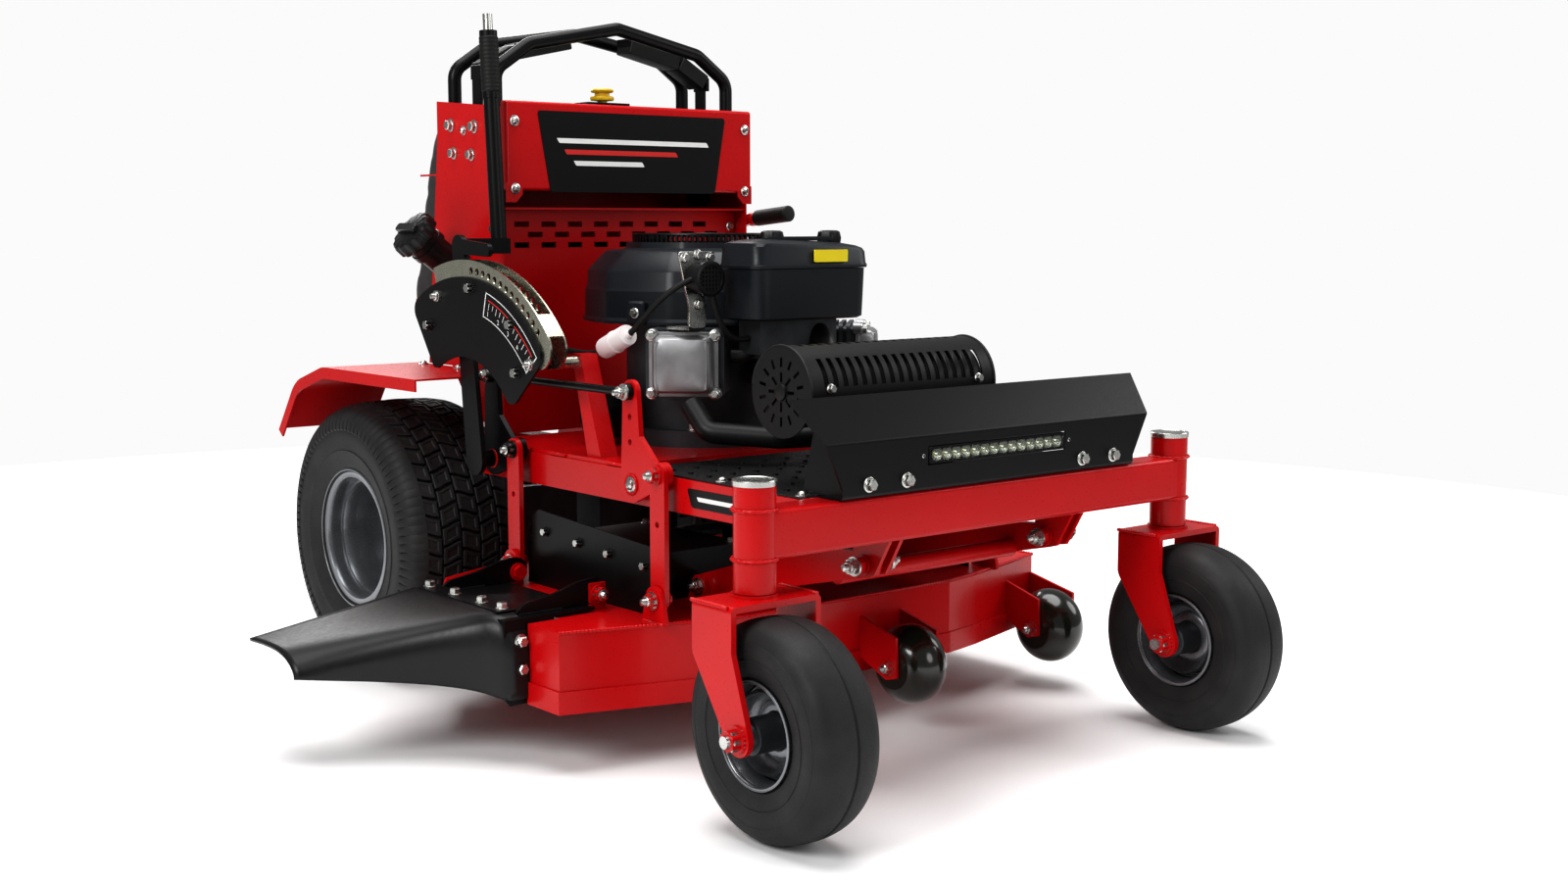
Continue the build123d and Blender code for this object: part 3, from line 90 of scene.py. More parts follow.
def across(direction):
    """Two unit vectors at right angles to a direction and to each other."""
    direction = unit(direction)
    helper = np.array([0.0, 0.0, 1.0]) if abs(direction[2]) < 0.9 else np.array([0.0, 1.0, 0.0])
    first = unit(np.cross(helper, direction))
    return first, np.cross(direction, first)


def loft(rings, round_ring=True, round_path=False, caps=False):
    """Quads over a grid: point j of ring i is joined to its neighbours j+1 and i+1, wrapping
    where asked."""
    rings = np.asarray(rings, float)
    count, around = rings.shape[:2]
    i = np.arange(count if round_path else count - 1)[:, None]
    j = np.arange(around if round_ring else around - 1)[None, :]
    i_next, j_next = (i + 1) % count, (j + 1) % around
    quads = np.stack([i * around + j, i * around + j_next,
                      i_next * around + j_next, i_next * around + j], -1)
    faces = quads.reshape(-1, 4).tolist()
    if caps:
        faces += [list(range(around))[::-1], list(range((count - 1) * around, count * around))]
    return rings.reshape(-1, 3), faces


def joined(surfaces):
    """Several surfaces as one: each one's face numbers are raised by the points before it."""
    points, faces, base = [], [], 0
    for surface_points, surface_faces in surfaces:
        points.append(surface_points)
        faces += [[base + k for k in face] for face in surface_faces]
        base += len(surface_points)
    return np.concatenate(points), faces


def placed(surface, place, direction):
    """A surface drawn about +Z at the origin, moved so that its +Z runs along a direction."""
    points, faces = surface
    first, second = across(direction)
    matrix = np.stack([first, second, unit(direction)])
    return points @ matrix + np.asarray(place, float), faces


def spun(surface, angle, centre):
    """A surface drawn about the origin, turned about +Z by an angle and moved to a centre."""
    points, faces = surface
    cos, sin = math.cos(angle), math.sin(angle)
    turn = np.array([[cos, sin, 0], [-sin, cos, 0], [0, 0, 1]])
    return points @ turn + centre, faces


def lathe(profile, origin, axis, segments, closed=True, shape=None):
    """A profile of (distance along the axis, radius) turned round it: point = origin + along*axis
    + radius*(cos a*e1 + sin a*e2). shape(a), if given, scales the radius by the angle."""
    profile = np.asarray(profile, float)
    first, second = across(axis)
    angle = np.linspace(0, 2 * math.pi, segments, endpoint=False)
    scale = np.ones(segments) if shape is None else shape(angle)
    spokes = (np.cos(angle)[:, None] * first + np.sin(angle)[:, None] * second) * scale[:, None]
    rings = (np.asarray(origin, float) + profile[:, :1, None] * unit(axis)
             + profile[:, 1:, None] * spokes[None])
    return loft(rings, round_path=closed)


def smooth_line(points, steps=8):
    """A Catmull-Rom line: between two points it is the cubic whose end slopes are half the chord
    from the point before to the point after."""
    points = np.asarray(points, float)
    padded = np.concatenate([points[:1] * 2 - points[1:2], points, points[-1:] * 2 - points[-2:-1]])
    t = np.linspace(0, 1, steps, endpoint=False)[None, :, None]
    a, b, c, d = (p[:, None, :] for p in (padded[:-3], padded[1:-2], padded[2:-1], padded[3:]))
    line = 0.5 * (2 * b + (c - a) * t + (2 * a - 5 * b + 4 * c - d) * t ** 2
                  + (3 * b - a - 3 * c + d) * t ** 3)
    return np.concatenate([line.reshape(-1, points.shape[1]), points[-1:]])


def rounded(outline, radius, steps=5):
    """A closed outline whose corners are eased: each is the quadratic curve from a point a radius
    before it to a point a radius after it."""
    outline = np.asarray(outline, float)
    start = outline + unit(np.roll(outline, 1, 0) - outline) * radius
    end = outline + unit(np.roll(outline, -1, 0) - outline) * radius
    t = np.linspace(0, 1, steps)[None, :, None]
    curve = (1 - t) ** 2 * start[:, None] + 2 * t * (1 - t) * outline[:, None] + t ** 2 * end[:, None]
    return curve.reshape(-1, outline.shape[1])


def slab(outline, low, high, axis, chamfer=0.0):
    """A flat outline carried from one height to another along x, y or z. A chamfer draws the end
    rings in towards the outline's middle."""
    outline = np.asarray(outline, float)
    middle = outline.mean(0)
    reach = np.abs(outline - middle).max()
    heights = [low, low + chamfer, high - chamfer, high] if chamfer else [low, high]
    shrink = [1 - chamfer / reach, 1, 1, 1 - chamfer / reach] if chamfer else [1, 1]
    flat = np.stack([middle + (outline - middle) * s for s in shrink])
    column = np.broadcast_to(np.array(heights, float)[:, None], flat.shape[:2])
    order = {"x": (column, flat[..., 0], flat[..., 1]), "y": (flat[..., 0], column, flat[..., 1]),
             "z": (flat[..., 0], flat[..., 1], column)}[axis]
    return loft(np.stack(order, -1), caps=True)


def rectangle(x, y):
    return [(x[0], y[0]), (x[1], y[0]), (x[1], y[1]), (x[0], y[1])]


def tube(path, radius, segments, closed=False):
    """A circle carried along a path: point = path + radius*(cos a*n + sin a*b), where n and b are
    square to the path's own direction. The radius may change along the path."""
    path = np.asarray(path, float)
    if closed:
        run = unit(np.roll(path, -1, 0) - np.roll(path, 1, 0))
    else:
        run = unit(np.gradient(path, axis=0))
    spread = path.max(0) - path.min(0)
    helper = np.zeros(3)
    helper[int(np.argmin(spread))] = 1.0
    normal = unit(np.cross(np.broadcast_to(helper, run.shape), run))
    other = np.cross(run, normal)
    angle = np.linspace(0, 2 * math.pi, segments, endpoint=False)[None, :, None]
    radius = np.broadcast_to(np.asarray(radius, float), (len(path),))[:, None, None]
    rings = path[:, None] + radius * (np.cos(angle) * normal[:, None] + np.sin(angle) * other[:, None])
    return loft(rings, round_path=closed, caps=not closed)


def weld_bead(start, end, radius, ripple=4.5):
    """A round bead between two points whose radius ripples: r*(1 + 0.22*sin(2*pi*s/ripple))."""
    start, end = np.asarray(start, float), np.asarray(end, float)
    length = np.linalg.norm(end - start)
    s = np.linspace(0, length, max(6, int(length / ripple * 4)))
    path = start + (end - start) * (s / length)[:, None]
    return tube(path, radius * (1 + 0.22 * np.sin(2 * math.pi * s / ripple)), segments=8)


def hexagon(angle):
    """A hexagon's reach at an angle, for an across-flats half width of 1."""
    return 1 / np.cos((angle % (math.pi / 3)) - math.pi / 6)


def bolt(size, head=0.55, socket=False):
    """A bolt head of a width across flats, standing on its washer along +Z: a hexagon, or a domed
    round head with a socket."""
    half, washer = size / 2, size * 0.14
    base = [(-0.5, 0.01), (-0.5, half * 1.45), (washer * 0.7, half * 1.45),
            (washer, half * 1.3), (washer, 0.01)]
    top = washer + size * head
    if socket:
        rise = top - washer
        crown = [(washer, 0.01), (washer, half), (washer + rise * 0.55, half * 0.92),
                 (top, half * 0.5), (top, half * 0.42), (top - rise * 0.5, half * 0.4),
                 (top - rise * 0.5, 0.01)]
        body = lathe(crown, (0, 0, 0), (0, 0, 1), segments=18, closed=False)
    else:
        crown = [(washer, 0.01), (washer, half), (top - half * 0.22, half), (top, half * 0.84),
                 (top, 0.01)]
        body = lathe(crown, (0, 0, 0), (0, 0, 1), segments=24, closed=False, shape=hexagon)
    return joined([lathe(base, (0, 0, 0), (0, 0, 1), segments=20, closed=False), body])


def lock_nut(size):
    """A nut with its rounded collar and the end of a thread, standing along +Z."""
    half = size / 2
    ridges = [(size * (0.7 + 0.05 * k), half * (0.5 if k % 2 else 0.44)) for k in range(8)]
    thread = [(0, 0.01), (0, half * 0.5)] + ridges + [(size * 1.1, 0.01)]
    collar = [(size * 0.5, half * 0.9), (size * 0.68, half * 0.86), (size * 0.74, half * 0.7),
              (size * 0.74, 0.01)]
    return joined([
        lathe([(-0.5, 0.01), (-0.5, half * 1.4), (size * 0.12, half * 1.4), (size * 0.12, 0.01)],
              (0, 0, 0), (0, 0, 1), segments=20, closed=False),
        lathe([(size * 0.12, 0.01), (size * 0.12, half), (size * 0.5, half), (size * 0.5, 0.01)],
              (0, 0, 0), (0, 0, 1), segments=24, closed=False, shape=hexagon),
        lathe(collar, (0, 0, 0), (0, 0, 1), segments=20, closed=False),
        lathe(thread, (0, 0, 0), (0, 0, 1), segments=16, closed=False)])


def ring_strip(pivot, inner, outer, start, end, x, steps=40):
    """A thin band of an annulus in a plane of constant x; angles in degrees from +Y, and the band
    is 0.5 mm thick away from the machine."""
    angle = np.radians(np.linspace(start, end, steps))
    arms = np.stack([np.cos(angle), np.sin(angle)], -1)
    corners = [(x, inner), (x, outer), (x - 0.5, outer), (x - 0.5, inner)]
    rings = np.stack([np.concatenate([np.full((steps, 1), c), pivot + r * arms], -1) for c, r in corners], 1)
    return loft(rings, caps=True)


# =========================================================================
# Pieces and finishes
# =========================================================================
def piece(name, parts, body, replaces=(), angle=35.0, bevel=0.0, wall=0.0, closed=True):
    """A finished object from (surface, material) pairs, riding on a body."""
    mesh = bpy.data.meshes.new(name)
    surfaces = [surface for surface, _ in parts]
    points, faces = joined(surfaces)
    mesh.from_pydata((points * MM).tolist(), [], faces)
    slots = list(dict.fromkeys(material for _, material in parts))
    for material in slots:
        mesh.materials.append(bpy.data.materials[material])
    indices = np.concatenate([np.full(len(s[1]), slots.index(m)) for s, m in parts])
    mesh.polygons.foreach_set("material_index", indices.astype(np.int32))
    shape = bmesh.new()
    shape.from_mesh(mesh)
    bmesh.ops.remove_doubles(shape, verts=shape.verts, dist=1e-6)
    if closed:
        bmesh.ops.recalc_face_normals(shape, faces=shape.faces)
    shape.to_mesh(mesh)
    shape.free()
    mesh.shade_smooth()
    mesh.set_sharp_from_angle(angle=math.radians(angle))
    made = bpy.data.objects.new(name, mesh)
    bpy.context.scene.collection.objects.link(made)
    if wall:
        solid = made.modifiers.new("wall", "SOLIDIFY")
        solid.thickness, solid.offset = wall * MM, -1.0
    if bevel:
        edge = made.modifiers.new("edge", "BEVEL")
        edge.width, edge.segments, edge.limit_method = bevel * MM, 2, "ANGLE"
        edge.angle_limit = math.radians(40)
    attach(made, body)
    if replaces:
        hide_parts(*replaces)
    return made


def linear(hex_colour):
    """An sRGB hex colour as linear RGBA."""
    parts = [int(hex_colour[k:k + 2], 16) / 255 for k in (1, 3, 5)]
    return [p / 12.92 if p <= 0.04045 else ((p + 0.055) / 1.055) ** 2.4 for p in parts] + [1.0]


def add(tree, kind, inputs=None, **settings):
    """One node, with its settings, input values and input links."""
    made = tree.nodes.new(kind)
    for key, value in settings.items():
        setattr(made, key, value)
    for socket, value in (inputs or {}).items():
        if isinstance(value, bpy.types.NodeSocket):
            tree.links.new(value, made.inputs[socket])
        else:
            made.inputs[socket].default_value = value
    return made


def per_metre(size_mm):
    """A texture scale for features of a size in millimetres."""
    return 1000.0 / size_mm


def finish(name, light, dark, rough, grain_mm, bump_mm, cloud_mm=90.0, stretch=(1, 1, 1), grain="noise",
           metallic=0.0, coat=0.0, coat_rough=0.1, ior=1.5, sheen=0.0, dust=0.0, dust_colour="#8c8579"):
    """A surface: two tones that drift over cloud_mm, a grain of grain_mm that stands bump_mm proud
    and breaks up the gloss between the two roughness values, and an even coat if it has one."""
    material = bpy.data.materials.new(name)
    material.use_nodes = True
    tree = material.node_tree
    shader = tree.nodes["Principled BSDF"]
    place = add(tree, "ShaderNodeTexCoord").outputs["Object"]
    if stretch != (1, 1, 1):
        place = add(tree, "ShaderNodeMapping", {"Vector": place, "Scale": stretch}).outputs["Vector"]
    clouds = add(tree, "ShaderNodeTexNoise", {"Vector": place, "Scale": per_metre(cloud_mm),
                                              "Detail": 4.0})
    if grain == "noise":
        fine = add(tree, "ShaderNodeTexNoise", {"Vector": place, "Scale": per_metre(grain_mm),
                                                "Detail": 2.0})
        height = fine.outputs["Fac"]
    else:
        fine = add(tree, "ShaderNodeTexVoronoi", {"Vector": place, "Scale": per_metre(grain_mm)},
                   feature="SMOOTH_F1" if grain == "cells" else "DISTANCE_TO_EDGE")
        height = fine.outputs["Distance"]
    tones = add(tree, "ShaderNodeMix", {"Factor": clouds.outputs["Fac"], "A": linear(dark),
                                        "B": linear(light)}, data_type="RGBA")
    colour = tones.outputs["Result"]
    if dust:
        speck = add(tree, "ShaderNodeMapRange", {"Value": clouds.outputs["Fac"], "From Min": 0.45,
                                                 "From Max": 0.75, "To Min": 0.0, "To Max": dust})
        colour = add(tree, "ShaderNodeMix", {"Factor": speck.outputs["Result"], "A": colour,
                                             "B": linear(dust_colour)}, data_type="RGBA").outputs["Result"]
    tree.links.new(colour, shader.inputs["Base Color"])
    gloss = add(tree, "ShaderNodeMapRange", {"Value": height, "From Min": 0.25, "From Max": 0.75,
                                             "To Min": rough[0], "To Max": rough[1]})
    tree.links.new(gloss.outputs["Result"], shader.inputs["Roughness"])
    bump = add(tree, "ShaderNodeBump", {"Height": height, "Strength": 0.6, "Distance": bump_mm * MM})
    tree.links.new(bump.outputs["Normal"], shader.inputs["Normal"])
    shader.inputs["Metallic"].default_value = metallic
    shader.inputs["Coat Weight"].default_value = coat
    shader.inputs["Coat Roughness"].default_value = coat_rough
    shader.inputs["Sheen Weight"].default_value = sheen
    if not metallic:
        shader.inputs["IOR"].default_value = ior
    return material


# A name and what the real finish is; sizes in millimetres.
FINISHES = {
    # Gloss powder coat: a deep even red under a slight orange peel about 3 mm across.
    "red powder coat": dict(light="#C1040B", dark="#AD0308", rough=(0.26, 0.34), grain_mm=4.0, bump_mm=0.012,
                            cloud_mm=160, coat=0.12, coat_rough=0.08, ior=1.34),
    # Satin powder coat on steel: near black, finer peel, softer light.
    "black powder coat": dict(light="#0B0B0C", dark="#050506", rough=(0.3, 0.4), grain_mm=3.0, bump_mm=0.015,
                              cloud_mm=140, ior=1.3),
    # Bright zinc plate: a cool metal with faint cloudy spangle.
    "zinc plate": dict(light="#CDCDCA", dark="#B2B2AE", rough=(0.22, 0.34), grain_mm=4.0, bump_mm=0.006,
                       cloud_mm=22, metallic=1.0),
    # Yellow-passivated zinc on the linkage plates: a warm straw tint.
    "passivated zinc": dict(light="#D6D5C6", dark="#B9B8A6", rough=(0.2, 0.32), grain_mm=4.0, bump_mm=0.006,
                            cloud_mm=30, metallic=1.0),
    # Silver wheel paint over pressed steel.
    "silver wheel paint": dict(light="#8C8E91", dark="#6A6C70", rough=(0.24, 0.4), grain_mm=1.6, bump_mm=0.02,
                               cloud_mm=60, metallic=0.75, coat=0.4, coat_rough=0.15),
    # Moulded tyre rubber: matt, faintly dusty, with a fine cast skin.
    "tyre rubber": dict(light="#232324", dark="#19191A", rough=(0.5, 0.66), grain_mm=2.2, bump_mm=0.05,
                        cloud_mm=45, ior=1.4, dust=0.03),
    # Talc-filled polypropylene engine covers: blue-black, a fine moulded texture.
    "engine cover plastic": dict(light="#171C22", dark="#0F1317", rough=(0.3, 0.42), grain_mm=2.2,
                                 bump_mm=0.03, cloud_mm=70, ior=1.4),
    # Plain moulded black plastic for caps, tank and rollers.
    "moulded plastic": dict(light="#0F0F10", dark="#080809", rough=(0.3, 0.42), grain_mm=2.2, bump_mm=0.03,
                            cloud_mm=60, ior=1.4),
    # Polished polyurethane rollers with a brown-green depth.
    "roller plastic": dict(light="#1D1F14", dark="#0D0E0A", rough=(0.14, 0.26), grain_mm=3.0, bump_mm=0.02,
                           cloud_mm=50, ior=1.5, coat=0.5, coat_rough=0.08),
    # Die-cast aluminium: a grey cast skin, slightly mottled.
    "cast aluminium": dict(light="#A9A9AA", dark="#7C7B7D", rough=(0.34, 0.46), grain_mm=2.4, bump_mm=0.05,
                           cloud_mm=26, metallic=0.75),
    # Rough sand-cast iron and blackened engine castings.
    "dark casting": dict(light="#55575A", dark="#2B2D30", rough=(0.4, 0.55), grain_mm=3.0, bump_mm=0.08,
                         cloud_mm=34, metallic=0.7),
    # Heat-resisting matt black on the exhaust.
    "stove black": dict(light="#0E0D0D", dark="#080707", rough=(0.38, 0.52), grain_mm=2.2, bump_mm=0.03,
                        cloud_mm=60, ior=1.4),
    # Vinyl over foam: a leather-like cell grain about 4 mm across.
    "grained vinyl": dict(light="#161617", dark="#0E0E0F", rough=(0.36, 0.5), grain_mm=4.0, bump_mm=0.14,
                          cloud_mm=90, grain="cells", sheen=0.15),
    # Flexible rubber of the chute: smooth, satin, slightly uneven.
    "flap rubber": dict(light="#121213", dark="#0C0C0D", rough=(0.32, 0.42), grain_mm=6.0, bump_mm=0.03,
                        cloud_mm=110, ior=1.42),
    # Foam-rubber lever grips.
    "grip rubber": dict(light="#0E0F0C", dark="#080807", rough=(0.5, 0.66), grain_mm=2.0, bump_mm=0.05,
                        cloud_mm=30, ior=1.4),
    # Ground steel on blades and shafts: lines along the grinding.
    "ground steel": dict(light="#9A9A9A", dark="#6F6F70", rough=(0.25, 0.42), grain_mm=1.6, bump_mm=0.02,
                         cloud_mm=20, stretch=(1, 0.12, 1), metallic=1.0),
    # Rubber V belt with a woven back.
    "belt rubber": dict(light="#222222", dark="#121212", rough=(0.6, 0.8), grain_mm=1.5, bump_mm=0.12,
                        cloud_mm=30, grain="lines"),
    # Printed matt film.
    "black film": dict(light="#080809", dark="#040405", rough=(0.3, 0.36), grain_mm=3.0, bump_mm=0.005,
                       cloud_mm=90, ior=1.35),
    "white print": dict(light="#E9E9E7", dark="#DADAD8", rough=(0.4, 0.46), grain_mm=1.5, bump_mm=0.01,
                        cloud_mm=40),
    "red print": dict(light="#D2241C", dark="#BC1812", rough=(0.4, 0.46), grain_mm=1.5, bump_mm=0.01,
                      cloud_mm=40),
    "yellow film": dict(light="#F2DF1F", dark="#E2CC12", rough=(0.34, 0.4), grain_mm=1.5, bump_mm=0.01,
                        cloud_mm=40),
    # Moulded yellow knob.
    "yellow plastic": dict(light="#F0C810", dark="#DDB008", rough=(0.26, 0.36), grain_mm=1.6, bump_mm=0.02,
                           cloud_mm=20, ior=1.46),
    # Nylon filter body: milky and slightly translucent.
    "milky nylon": dict(light="#E8E4E2", dark="#D2CACB", rough=(0.3, 0.4), grain_mm=2.0, bump_mm=0.02,
                        cloud_mm=20, ior=1.53),
    # Textured black coating on the foot plates.
    "grit coating": dict(light="#101010", dark="#070707", rough=(0.35, 0.6), grain_mm=3.2, bump_mm=0.3,
                         cloud_mm=40, grain="cells"),
    # Vacuum-metallised reflector behind the lamp glass.
    "lamp reflector": dict(light="#E4E4DE", dark="#C4C6BE", rough=(0.08, 0.16), grain_mm=2.0, bump_mm=0.02,
                           cloud_mm=12, metallic=1.0),
}


def clear_polycarbonate():
    """A clear lamp cover: thin, glossy, with a faint haze from a fine noise in its roughness."""
    material = bpy.data.materials.new("clear polycarbonate")
    material.use_nodes = True
    tree = material.node_tree
    shader = tree.nodes["Principled BSDF"]
    place = add(tree, "ShaderNodeTexCoord").outputs["Object"]
    haze = add(tree, "ShaderNodeTexNoise", {"Vector": place, "Scale": per_metre(6.0), "Detail": 3.0})
    rough = add(tree, "ShaderNodeMapRange", {"Value": haze.outputs["Fac"], "To Min": 0.02, "To Max": 0.1})
    tree.links.new(rough.outputs["Result"], shader.inputs["Roughness"])
    shader.inputs["Base Color"].default_value = linear("#F4F7F2")
    shader.inputs["Transmission Weight"].default_value = 1.0
    shader.inputs["IOR"].default_value = 1.58
    return material


RED, BLACK, ZINC, STRAW = "red powder coat", "black powder coat", "zinc plate", "passivated zinc"
TYRE, RIM, COVER, PLASTIC = "tyre rubber", "silver wheel paint", "engine cover plastic", "moulded plastic"
CAST, DARK, VINYL, GRIP = "cast aluminium", "dark casting", "grained vinyl", "grip rubber"

# Which finish each CAD node that stays in view wears.
NODE_FINISH = {
    RED: ["front_beam", "frame_rails", "engine_plate", "fenders", "tower_sides", "tower_front_cover",
          "tower_panels", "front_lift_crank", "front_hangers", "rear_hangers", "deck_struts", "deck_shell",
          "brake_lever", "caster_fork_right", "caster_fork_left"],
    BLACK: ["hand_bars", "front_guard", "height_lever", "lift_rod", "belt_covers", "chute_bracket",
            "console_top", "spindle_housings", "quadrant_cover", "steering_lever_right",
            "steering_lever_left"],
    "grit coating": ["foot_plate", "operator_platform"],
    ZINC: ["lever_button"],
    STRAW: ["height_quadrant"],
    PLASTIC: ["fuel_tank"],
    DARK: ["engine_block", "transaxles", "pto_clutch"],
    GRIP: ["fuel_line"],
    "stove black": ["muffler", "muffler_guard"],
    "roller plastic": ["scalp_roller_centre", "scalp_roller_left"],
    "ground steel": ["blade_spindle_right", "blade_spindle_left"],
    "belt rubber": ["deck_belt"],
}


# =========================================================================
# Sizes and colours a user would change
# =========================================================================
class MowerSizes(bpy.types.PropertyGroup):
    """Sizes of the fine pieces."""
    tread_pitches: bpy.props.IntProperty(
        name="Tread pitches", description="Blocks around each drive tyre", default=46, min=12, max=60)
    tread_depth: bpy.props.FloatProperty(
        name="Tread depth", description="Height of the turf blocks", default=0.008, unit="LENGTH", min=0.002)
    caster_groove: bpy.props.FloatProperty(
        name="Caster groove", description="Depth of the line round each caster tyre", default=0.0022,
        unit="LENGTH", min=0.0)
    screen_fins: bpy.props.IntProperty(
        name="Screen fins", description="Fins around the engine's cooling screen", default=84,
        min=12, max=200)
    weld_radius: bpy.props.FloatProperty(
        name="Weld bead", description="Radius of the weld beads", default=0.0026, unit="LENGTH", min=0.0005)
    pad_swell: bpy.props.FloatProperty(
        name="Pad swell", description="The most the back pad's cover may swell", default=0.012,
        unit="LENGTH", min=0.0, max=0.03)


class MowerStage(bpy.types.PropertyGroup):
    """The floor and the light."""
    floor_size: bpy.props.FloatProperty(
        name="Floor size", description="Radius of the floor", default=3.1, unit="LENGTH", min=2.0)
    key_power: bpy.props.FloatProperty(
        name="Key light", description="Power of the large soft light", default=110.0, unit="POWER", min=0.0)
    floor_colour: bpy.props.FloatVectorProperty(
        name="Floor colour", description="Colour of the pale floor", default=(0.9, 0.9, 0.9),
        subtype="COLOR", size=3, min=0.0, max=1.0)


# =========================================================================
# Wheels
# =========================================================================
DRIVE_X, DRIVE_RADIUS = 315.0, node_box("drive_tyre_left")[1][2] / 2
CASTER_LOW, CASTER_HIGH = node_box("caster_tyre_left")
CASTER_CENTRE = (CASTER_LOW + CASTER_HIGH) / 2
CASTER_RADIUS, CASTER_HALF = CASTER_CENTRE[2], (CASTER_HIGH[0] - CASTER_LOW[0]) / 2
BEAD_RADIUS = 104.0
# Each row of turf blocks is this far from the next, across the tyre.
TREAD_ROW = 34.5
# A drive wheel's disc lies this far inside the middle of its tyre.
DISC_INSET = 25.0
# The tread's outer line: distance from the tyre's middle, and how far it lies below the crown.
CROWN = np.array([(0, 0), (54, -1.5), (80, -6), (97, -14), (103, -24), (107, -36), (108, -46)], float)


def crown_radius(x):
    """The radius of the tread's outer face at a distance from the tyre's middle, read off its
    crown line."""
    return DRIVE_RADIUS + np.interp(np.abs(x), CROWN[:, 0], CROWN[:, 1])


def wrapped(x, arc, radius, centre_x):
    """Points of a flat pattern (x, arc) wrapped on a drive tyre at a radius: the angle is arc/R."""
    angle = arc / DRIVE_RADIUS
    return np.stack([centre_x + x, radius * np.sin(angle), DRIVE_RADIUS + radius * np.cos(angle)], -1)


def turf_block(centre_x, row_x, arc, hand, depth):
    """One wavy turf block: an outline (x, arc) with a bowed front and back and a sunk oval in its
    face, carried from the carcass out to the crown."""
    wide, long = 15.6, 13.0
    t = np.linspace(-1, 1, 6)
    bow = 4.6 * np.sin(t * math.pi / 2) * hand
    front = np.stack([t * wide, -long + bow], -1)
    back = np.stack([t[::-1] * wide, long + bow[::-1]], -1)
    outline = np.concatenate([front, back])
    rings = []
    for shrink, sink in ((1.05, depth + 1.5), (1.0, 1.0), (0.93, 0.0), (0.62, 0.0), (0.52, 1.6)):
        x = row_x + outline[:, 0] * shrink
        rings.append(wrapped(x, arc + outline[:, 1] * shrink, crown_radius(x) - sink, centre_x))
    return loft(rings, caps=True)


def shoulder_rib(centre_x, side, arc, depth):
    """A rib over the tyre's shoulder: a tapered section carried along the crown line down to
    the wall."""
    x = np.array([76.0, 84.0, 93.0, 100.0, 104.5, 107.0, 107.6])
    half = np.array([9.0, 9.0, 8.6, 8.0, 7.4, 6.6, 5.6])
    proud = np.array([0.0, 0.0, 0.0, 0.6, 1.6, 2.6, 4.5])
    outward = np.array([0.2, 0.4, 0.7, 0.9, 1.0, 1.0, 1.0])
    rings = []
    for k, reach in enumerate(x):
        section = np.array([(-1.12, depth), (-1.0, 0.8), (-0.85, 0), (0.85, 0), (1.0, 0.8), (1.12, depth)])
        sink = section[:, 1] * (1 - 0.55 * outward[k]) + proud[k] * 0.4
        position = side * (reach - section[:, 1] * 0.35 * outward[k])
        rings.append(wrapped(position, arc + section[:, 0] * half[k], crown_radius(reach) - sink, centre_x))
    return loft(rings, caps=True)


def carcass(centre_x, depth):
    """The tyre under its tread: a smooth closed section turned round the axle."""
    sink = depth + 0.6
    outer = [(-86, BEAD_RADIUS + 0.4), (-93.5, BEAD_RADIUS + 8), (-95, BEAD_RADIUS + 15), (-98, 128),
             (-103.5, 146), (-104, 149), (-103.2, 151), (-105.6, 170), (-105.4, 182), (-101, 200),
             (-92, 211 - sink * 0.4), (-72, DRIVE_RADIUS - 4 - sink), (-40, DRIVE_RADIUS - 1 - sink),
             (0, DRIVE_RADIUS - sink)]
    line = smooth_line(outer + [(-x, r) for x, r in outer[-2::-1]], steps=4)
    return lathe(line, (centre_x, 0, DRIVE_RADIUS), (1, 0, 0), segments=160)


def pressed_rim(centre, side, lip, well, disc_in, hub, seat):
    """A pressed wheel: a rolled lip, bead seats, a drop centre and a deep dished disc. Each is part
    of one open sheet profile turned round the axle; its thickness is added afterwards."""
    half, radius = lip
    profile = [(half + 4, radius - 2.5), (half + 3.4, radius + 0.4), (half + 1, radius + 0.6),
               (half - 1.6, radius - 2), (half - 3, seat + 3), (half - 4.5, seat - 0.9),
               (half - 22, seat - 2.2), (half - 25, seat - 1.2), (half - 28, seat - 3), (half - 34, well),
               (disc_in + 26, well - 1), (disc_in + 12, well - 4), (disc_in + 4, well - 12),
               (disc_in + 1, well * 0.72), (disc_in + 5, well * 0.62), (disc_in + 5, hub)]
    line = smooth_line(profile, steps=3)
    line[:, 0] *= side
    front = lathe(line, centre, (1, 0, 0), segments=112, closed=False)
    rear = [(disc_in + 26, well - 1), (-half + 34, well), (-half + 28, seat - 3), (-half + 4.5, seat - 0.9),
            (-half + 3, seat + 3), (-half + 1.6, radius - 2), (-half - 1, radius + 0.6),
            (-half - 4, radius - 2.5)]
    line = smooth_line(rear, steps=3)
    line[:, 0] *= side
    return joined([front, lathe(line, centre, (1, 0, 0), segments=112, closed=False)])


